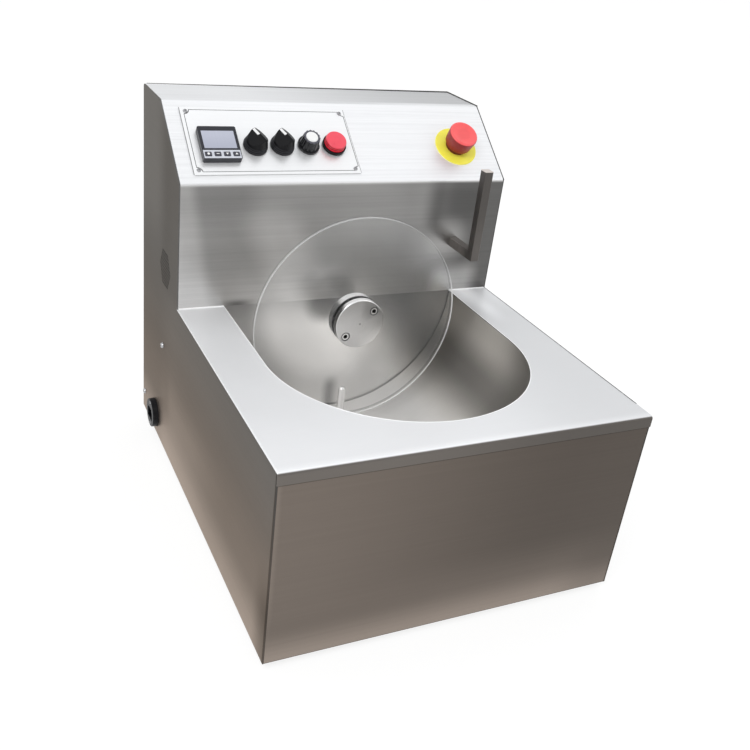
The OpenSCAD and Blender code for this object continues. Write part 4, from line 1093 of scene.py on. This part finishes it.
sign_size = 0.0016
sign_thick = 0.0002
sign_shapes = {
    1: [(math.cos(k * math.pi / 8), math.sin(k * math.pi / 8)) for k in range(16)],
    2: [(-1.1, -0.3), (1.1, -0.3), (1.1, 0.3), (-1.1, 0.3)],
    3: [(-1.1, 0.7), (0, -1.0), (1.1, 0.7)],
    4: [(-1.1, -0.7), (1.1, -0.7), (0, 1.0)],
}
for number, outline in sign_shapes.items():
    low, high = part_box("key_%d" % number)
    rise = ((low + high) / 2 - knob_row).dot(panel_up)
    sign = bmesh.new()
    flat = sign.faces.new([sign.verts.new((sign_size * x, sign_size * y, 0)) for x, y in outline])
    raised = bmesh.ops.extrude_face_region(sign, geom=[flat])["geom"]
    lifted = [item for item in raised if isinstance(item, bmesh.types.BMVert)]
    bmesh.ops.translate(sign, vec=(0, 0, sign_thick), verts=lifted)
    bmesh.ops.recalc_face_normals(sign, faces=sign.faces)
    mesh = bpy.data.meshes.new("sign")
    sign.to_mesh(mesh)
    sign.free()
    mesh.transform(on_panel((low.x + high.x) / 2, top_lift("key_%d" % number), rise))
    shown("key_%d_sign" % number, mesh, mark_white, "key_%d" % number)

# %% [markdown]
# Round caps are turned from a half section, as on a lathe. A section is easier to shape than a
# stack of bevelled cylinders: the stop button gets its cup below and its shallow dish above, and
# the lamp its ring ribs.


# %% Turned caps
def turned(profile, steps=72):
    """A solid turned about Z from its half section, which starts and ends on the axis."""
    work = bmesh.new()
    points = [work.verts.new((radius, 0, height)) for radius, height in profile]
    edges = [work.edges.new(pair) for pair in zip(points, points[1:])]
    bmesh.ops.spin(
        work, geom=points + edges, cent=(0, 0, 0), axis=(0, 0, 1), angle=2 * math.pi, steps=steps,
        use_merge=True,
    )
    bmesh.ops.remove_doubles(work, verts=work.verts, dist=1e-7)
    bmesh.ops.recalc_face_normals(work, faces=work.faces)
    mesh = bpy.data.meshes.new("turned")
    work.to_mesh(mesh)
    work.free()
    mesh.shade_smooth()
    mesh.set_sharp_from_angle(angle=math.radians(32))
    return mesh


def quarter(radius, height, edge, steps=6):
    """Points of a rounded upper edge, from its side to its top."""
    angles = [math.pi / 2 * k / steps for k in range(steps + 1)]
    return [
        (radius - edge + edge * math.cos(angle), height - edge + edge * math.sin(angle))
        for angle in angles
    ]


def glossy_shell(tone, roughness, lower_tone=None, top=0.0, grooves=()):
    """Recipe of a smooth moulded shell with slight flow marks. A lower tone serves below its top, as
    painted shade on the sides, and painted shade darkens its grooves."""

    def recipe(place):
        colour = tone
        flow = noise(stretched(place, (60.0, 60.0, 140.0)), 1.0, 3.0)
        dust = noise(place, 1800.0)
        shade = 0.9 + 0.2 * flow
        if lower_tone:
            lift = along_panel(place, panel_out, knob_row)
            colour = blend(ramp(lift, top - 0.0022, top - 0.0008), lower_tone, tone)
            shade = shade * (1.0 - 0.75 * bands(lift, [top - deep for deep in grooves], 0.0008))
        return {
            "Base Color": toned(shade, colour),
            "Roughness": roughness + 0.1 * (dust - 0.5) + 0.1 * (flow - 0.5),
            "Normal": bumped(dust, 0.05, 0.00003),
        }

    return recipe


# The stop and the lamp are painted lighter on top and darker on their sides, as painted light and shade.
stop_red = finish("stop red", glossy_shell(
    (0.97, 0.118, 0.122, 1), 0.40, lower_tone=(0.27, 0.006, 0.005, 1), top=top_lift("stop_head"),
))
lamp_red = finish("lamp red", glossy_shell(
    (0.88, 0.075, 0.115, 1), 0.30, lower_tone=(0.80, 0.018, 0.045, 1), top=top_lift("lamp_lens"),
    grooves=(0.0022, 0.0048),
))
# The collar is dark red as painted shade, so that it reads as the shaded underside of the red head.
neck_red = finish("stop collar red", glossy_shell((0.13, 0.008, 0.007), 0.5))
stop_yellow = finish("stop yellow", glossy_shell((1.0, 0.92, 0.09), 0.4))
print("four shell finishes")

# %% Stop button
stop_x = middle_x("stop_head")
ring_thick = 0.0012
head_lift = 0.0075
head_radius = 0.0200
head_tall = 0.0200
head_round = 0.0028
stem_radius = 0.00405
stem_deep = 0.0140
cup_radius = 0.0165
cup_deep = 0.0080
skirt = [(0.0183, 0.0), (0.0186, 0.0004)]
dish = [(0.0164, 0.0199), (0.0152, 0.0192), (0.0080, 0.0189), (0, 0.0189)]
stop_section = [
    (0, stem_deep), (stem_radius, stem_deep), (stem_radius, cup_deep), (cup_radius, cup_deep),
    (cup_radius, 0.0),
]
stop_section += skirt + quarter(head_radius, head_tall, head_round) + dish
head = turned(stop_section)
head.transform(on_panel(stop_x, ring_thick + head_lift))
shown("stop_mushroom", head, stop_red, "stop_head", ["stop_head"])
rounded("stop_ring", "stop_disc", stop_yellow, radius=0.0003)
rounded("stop_collar", "stop_neck", neck_red, radius=0.0004)

# %% Lamp
lamp_x = middle_x("lamp_lens")
lamp_base_tall = 0.005
lamp_radius = 0.0140
lamp_tall = 0.0080
crown_radius = 0.0134
crown_round = 0.0012
crown_middle = (0, 0.0081)
first_rib = 0.0004
rib_count = 3
rib_pitch = 0.0018
rib = [(0.0140, 0.0008), (0.0135, 0.0010), (0.0135, 0.0015), (0.0139, 0.0017)]
lamp_section = [(0, 0), (lamp_radius, 0)]
for number in range(rib_count):
    foot = first_rib + rib_pitch * number
    lamp_section += [(radius, foot + height) for radius, height in rib]
lamp_section += quarter(crown_radius, lamp_tall, crown_round) + [crown_middle]
lens = turned(lamp_section)
lens.transform(on_panel(lamp_x, plate_thick + lamp_base_tall))
shown("lamp_cap", lens, lamp_red, "cabinet", ["lamp_lens"])
rounded("lamp_base", "lamp_foot", black_plastic, radius=0.0004)

# %% [markdown]
# Each selector is a black gable on a ringed base, with a white inlay along the half of its ridge
# that points at the chosen position. The inlay is a thin bar laid into the ridge.

# %% Selectors
rounded("selector_bezels", "selector_feet", foot_plastic, radius=0.0002)
grip_gap = 0.0003
grip_tall = 0.013
ridge_lift = plate_thick + bezel_tall + grip_gap + grip_tall
inlay_from_axis = 0.0060
inlay_long = 0.0100
inlay_wide = 0.0038
ridge_turn = math.radians(120)
inlay_thick = 0.0003
for number in (1, 2):
    node = "selector_knob_%d" % number
    rounded(node, "selector_grip_%d" % number, black_plastic, radius=0.0005, steps=3)
    inlay = bmesh.new()
    inlay_size = Matrix.Diagonal((inlay_long, inlay_wide, inlay_thick, 1))
    bmesh.ops.create_cube(inlay, size=1, matrix=inlay_size)
    mesh = bpy.data.meshes.new("inlay")
    inlay.to_mesh(mesh)
    inlay.free()
    mesh.transform(
        on_panel(middle_x(node), ridge_lift) @ Matrix.Rotation(ridge_turn, 4, "Z")
        @ Matrix.Translation((inlay_from_axis, 0, 0))
    )
    shown("selector_mark_%d" % number, mesh, mark_white, node.replace("knob_", ""))

# %% Speed knob
rounded("speed_knob", "speed_grip", knob_plastic, radius=0.0003)
rounded("speed_cap", "speed_disc", cap_white, radius=0.0003, steps=3)

# %% [markdown]
# The scraper holder is bent and welded square bar, left dull and dark. The probe is a ground steel
# pin, smoother than the sheets, so it mirrors the dark bowl and the bright room more sharply.

# %% Holder and probe
holder_low, holder_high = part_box("scraper_holder")


def holder_fade(place):
    """Painted light and shade: the bar is darker towards its upper end and lighter along its foot, and its top
    face carries a painted highlight.
    """
    height, along = axis(place, "Z"), axis(place, "Y")
    bar = ramp(height, 0.33, 0.40, 0.95, 0.66) + ramp(along, holder_low.y + 0.010, holder_low.y + 0.030)
    return bar + ramp(height, holder_high.z - 0.0016, holder_high.z - 0.0006, 0.0, 4.4)


holder_tone = (0.135, 0.124, 0.116)
holder_steel = finish(
    "holder steel",
    brushed(holder_tone, along_z, roughness=0.46, cloud=0.2, scratch=0.25, fade=holder_fade),
    Metallic=0.8,
)
rounded("scraper_holder", "holder_bar", holder_steel, radius=0.0008, steps=3)
probe_low, probe_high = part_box("temp_probe")
probe_middle = (probe_low + probe_high) / 2
probe_tone = (0.80, 0.79, 0.78)
probe_steel = finish(
    "probe steel", turned_steel(probe_tone, 0.28, (1, 1, 0), probe_middle), Metallic=0.9
)
rounded("temp_probe", "probe_pin", probe_steel, radius=0)

# %% [markdown]
# The tower is welded to the deck, and the bowl is welded into it. Both welds are drawn as a narrow
# white line, a painted highlight along the joint. Along the right side and the back a thin dark line
# of painted shadow marks the gap between the folded sheet and the panels. Each is a bead on its path.

# %% Welds and gap shadows
# White as a painted highlight along the welds.
weld_highlight_tone = (1.0, 1.0, 1.0)
weld_highlight = finish("ground weld", moulded(weld_highlight_tone, 0.42, grain=900.0, depth=0.25), Metallic=0.3)
# Dark as the painted shadow of a gap.
gap_shadow_line = finish("gap_shadow_line", moulded((0.030, 0.028, 0.026), 0.5, grain=900.0, depth=0.3))
bowl_radius = 0.165
bowl_front_y = -0.0705
fold_height = 0.411
crown_y = 0.1935
inset = 0.0005
rim_gap = 0.001
rim_steps = 48
bead_round = 0.3
gap_shadow_start = 0.03
gap_shadow_end = 0.002


def laid_bead(name, material, points, width, height, taper=0.0):
    """A bead along the points. At the last point it has lost the share taper of its section."""
    edges = [(i, i + 1) for i in range(len(points) - 1)]
    values = {
        "Width": width, "Height": height, "Round": min(width, height) * bead_round, "Taper": taper,
        "Paint": material,
    }
    shown(name, grown(path_bead, values, points, edges), material, "cabinet")


weld_ends = {
    "left": (tower_low.x + inset, -bowl_radius), "right": (bowl_radius, tower_high.x - inset),
}
for side, (first_x, last_x) in weld_ends.items():
    laid_bead(
        "tower_weld_" + side, weld_highlight,
        [(first_x, tower_low.y, deck_top), (last_x, tower_low.y, deck_top)],
        width=0.0030, height=0.0020,
    )
rim_back = tower_low.y - rim_gap
rim_points = [(-bowl_radius, rim_back, deck_top), (-bowl_radius, bowl_front_y, deck_top)]
for step in range(1, rim_steps):
    angle = math.pi + math.pi * step / rim_steps
    rim_points.append((
        bowl_radius * math.cos(angle), bowl_front_y + bowl_radius * math.sin(angle), deck_top
    ))
rim_points += [(bowl_radius, bowl_front_y, deck_top), (bowl_radius, rim_back, deck_top)]
# The bowl's weld is a white line of painted highlight round its rim.
laid_bead("bowl_weld", weld_highlight, rim_points, width=0.0012, height=0.0005)
edge_x = deck_high.x - inset
back_y = tower_high.y - inset
crown_front = (edge_x, crown_y, tower_high.z)
crown_back = (edge_x, back_y, tower_high.z)
# Dark lines of painted shadow in the gaps along the right side and the back.
laid_bead(
    "right_gap_shadow", gap_shadow_line,
    [(edge_x, deck_low.y + gap_shadow_start, deck_top), (edge_x, tower_low.y, deck_top),
     (edge_x, tower_low.y, fold_height), crown_front],
    width=0.0009, height=0.0009,
)
laid_bead(
    "crown_gap_shadow", gap_shadow_line, [crown_front, crown_back], width=0.0024, height=0.0022
)
laid_bead(
    "back_gap_shadow", gap_shadow_line,
    [crown_back, (tower_low.x + gap_shadow_end, back_y, tower_high.z)],
    width=0.0024, height=0.0022, taper=0.7,
)

# %% [markdown]
# Screws, feet and the mains inlet finish the outside. They are copies of their solids with
# slightly rounded edges, because even a small highlight tells steel from plastic.

# %% Outside fittings
rubber = finish("foot rubber", moulded((0.022, 0.022, 0.022), 0.62, grain=1600.0, depth=0.25))
inlet_plastic = finish("inlet plastic", moulded((0.006, 0.006, 0.008), 0.40), Specular_IOR_Level=0.2)


def worn_brass(place):
    patch = noise(place, 240.0, 3.0)
    return {
        "Base Color": toned(0.75 + 0.4 * patch, (0.66, 0.47, 0.20)),
        "Roughness": 0.28 + 0.2 * patch,
    }


brass = finish("brass", worn_brass, Metallic=1.0)
rounded("feet", "rubber_feet", rubber, radius=0.0008, steps=3)
rounded("foot_screws", "feet_screws", screw_steel, radius=0.00015)
rounded("case_screws", "side_screws", screw_steel, radius=0.0002)
rounded("mains_inlet", "inlet_socket", inlet_plastic, radius=0.0005)
rounded("inlet_pins", "inlet_blades", brass, radius=0.0002)
rounded("inlet_screws", "inlet_fixings", screw_steel, radius=0.00015)

# %% [markdown]
# What lies inside shows only through the vents and from below. It keeps its CAD solids, each
# with the finish of such parts: zinc, brass, cast alloy, rubber, silicone or moulded plastic.


# %% Inside
def cast_alloy(place):
    sand = noise(place, 420.0, 4.0, 0.65)
    return {
        "Base Color": toned(0.8 + 0.35 * sand, (0.42, 0.425, 0.43)),
        "Roughness": 0.45 + 0.2 * sand,
        "Normal": bumped(sand, 0.4, 0.0001),
    }


alloy = finish("cast alloy", cast_alloy, Metallic=0.9)
silicone = finish("heater silicone", moulded((0.36, 0.05, 0.03), 0.55, grain=900.0, depth=0.3))
ivory = finish("terminal ivory", moulded((0.72, 0.68, 0.55), 0.45))
contact = finish("contact plastic", moulded((0.06, 0.07, 0.075), 0.45))
fan_plastic = finish("fan plastic", moulded((0.02, 0.02, 0.022), 0.45))
inside = {
    tray_steel: ["electrics_tray", "controller_clip"],
    contact: ["selector_blocks", "stop_block", "speed_pot", "stop_plunger"],
    screw_steel: ["panel_nuts", "housing_screws"],
    brass: ["probe_gland", "shaft_bush"],
    alloy: ["bearing_housing", "gearbox", "gear_motor", "speed_driver"],
    rubber: ["shaft_seal"],
    fan_plastic: ["fan_frame", "fan_rotor", "heater_relay"],
    silicone: ["heater_mat"],
    ivory: ["terminal_block"],
}
for material, nodes in inside.items():
    for node in nodes:
        coated(node, material)
print(sum(len(nodes) for nodes in inside.values()), "inner nodes coated")

# %% [markdown]
# Last, the view layer is brought up to date.

# %% Update the view layer
bpy.context.view_layer.update()
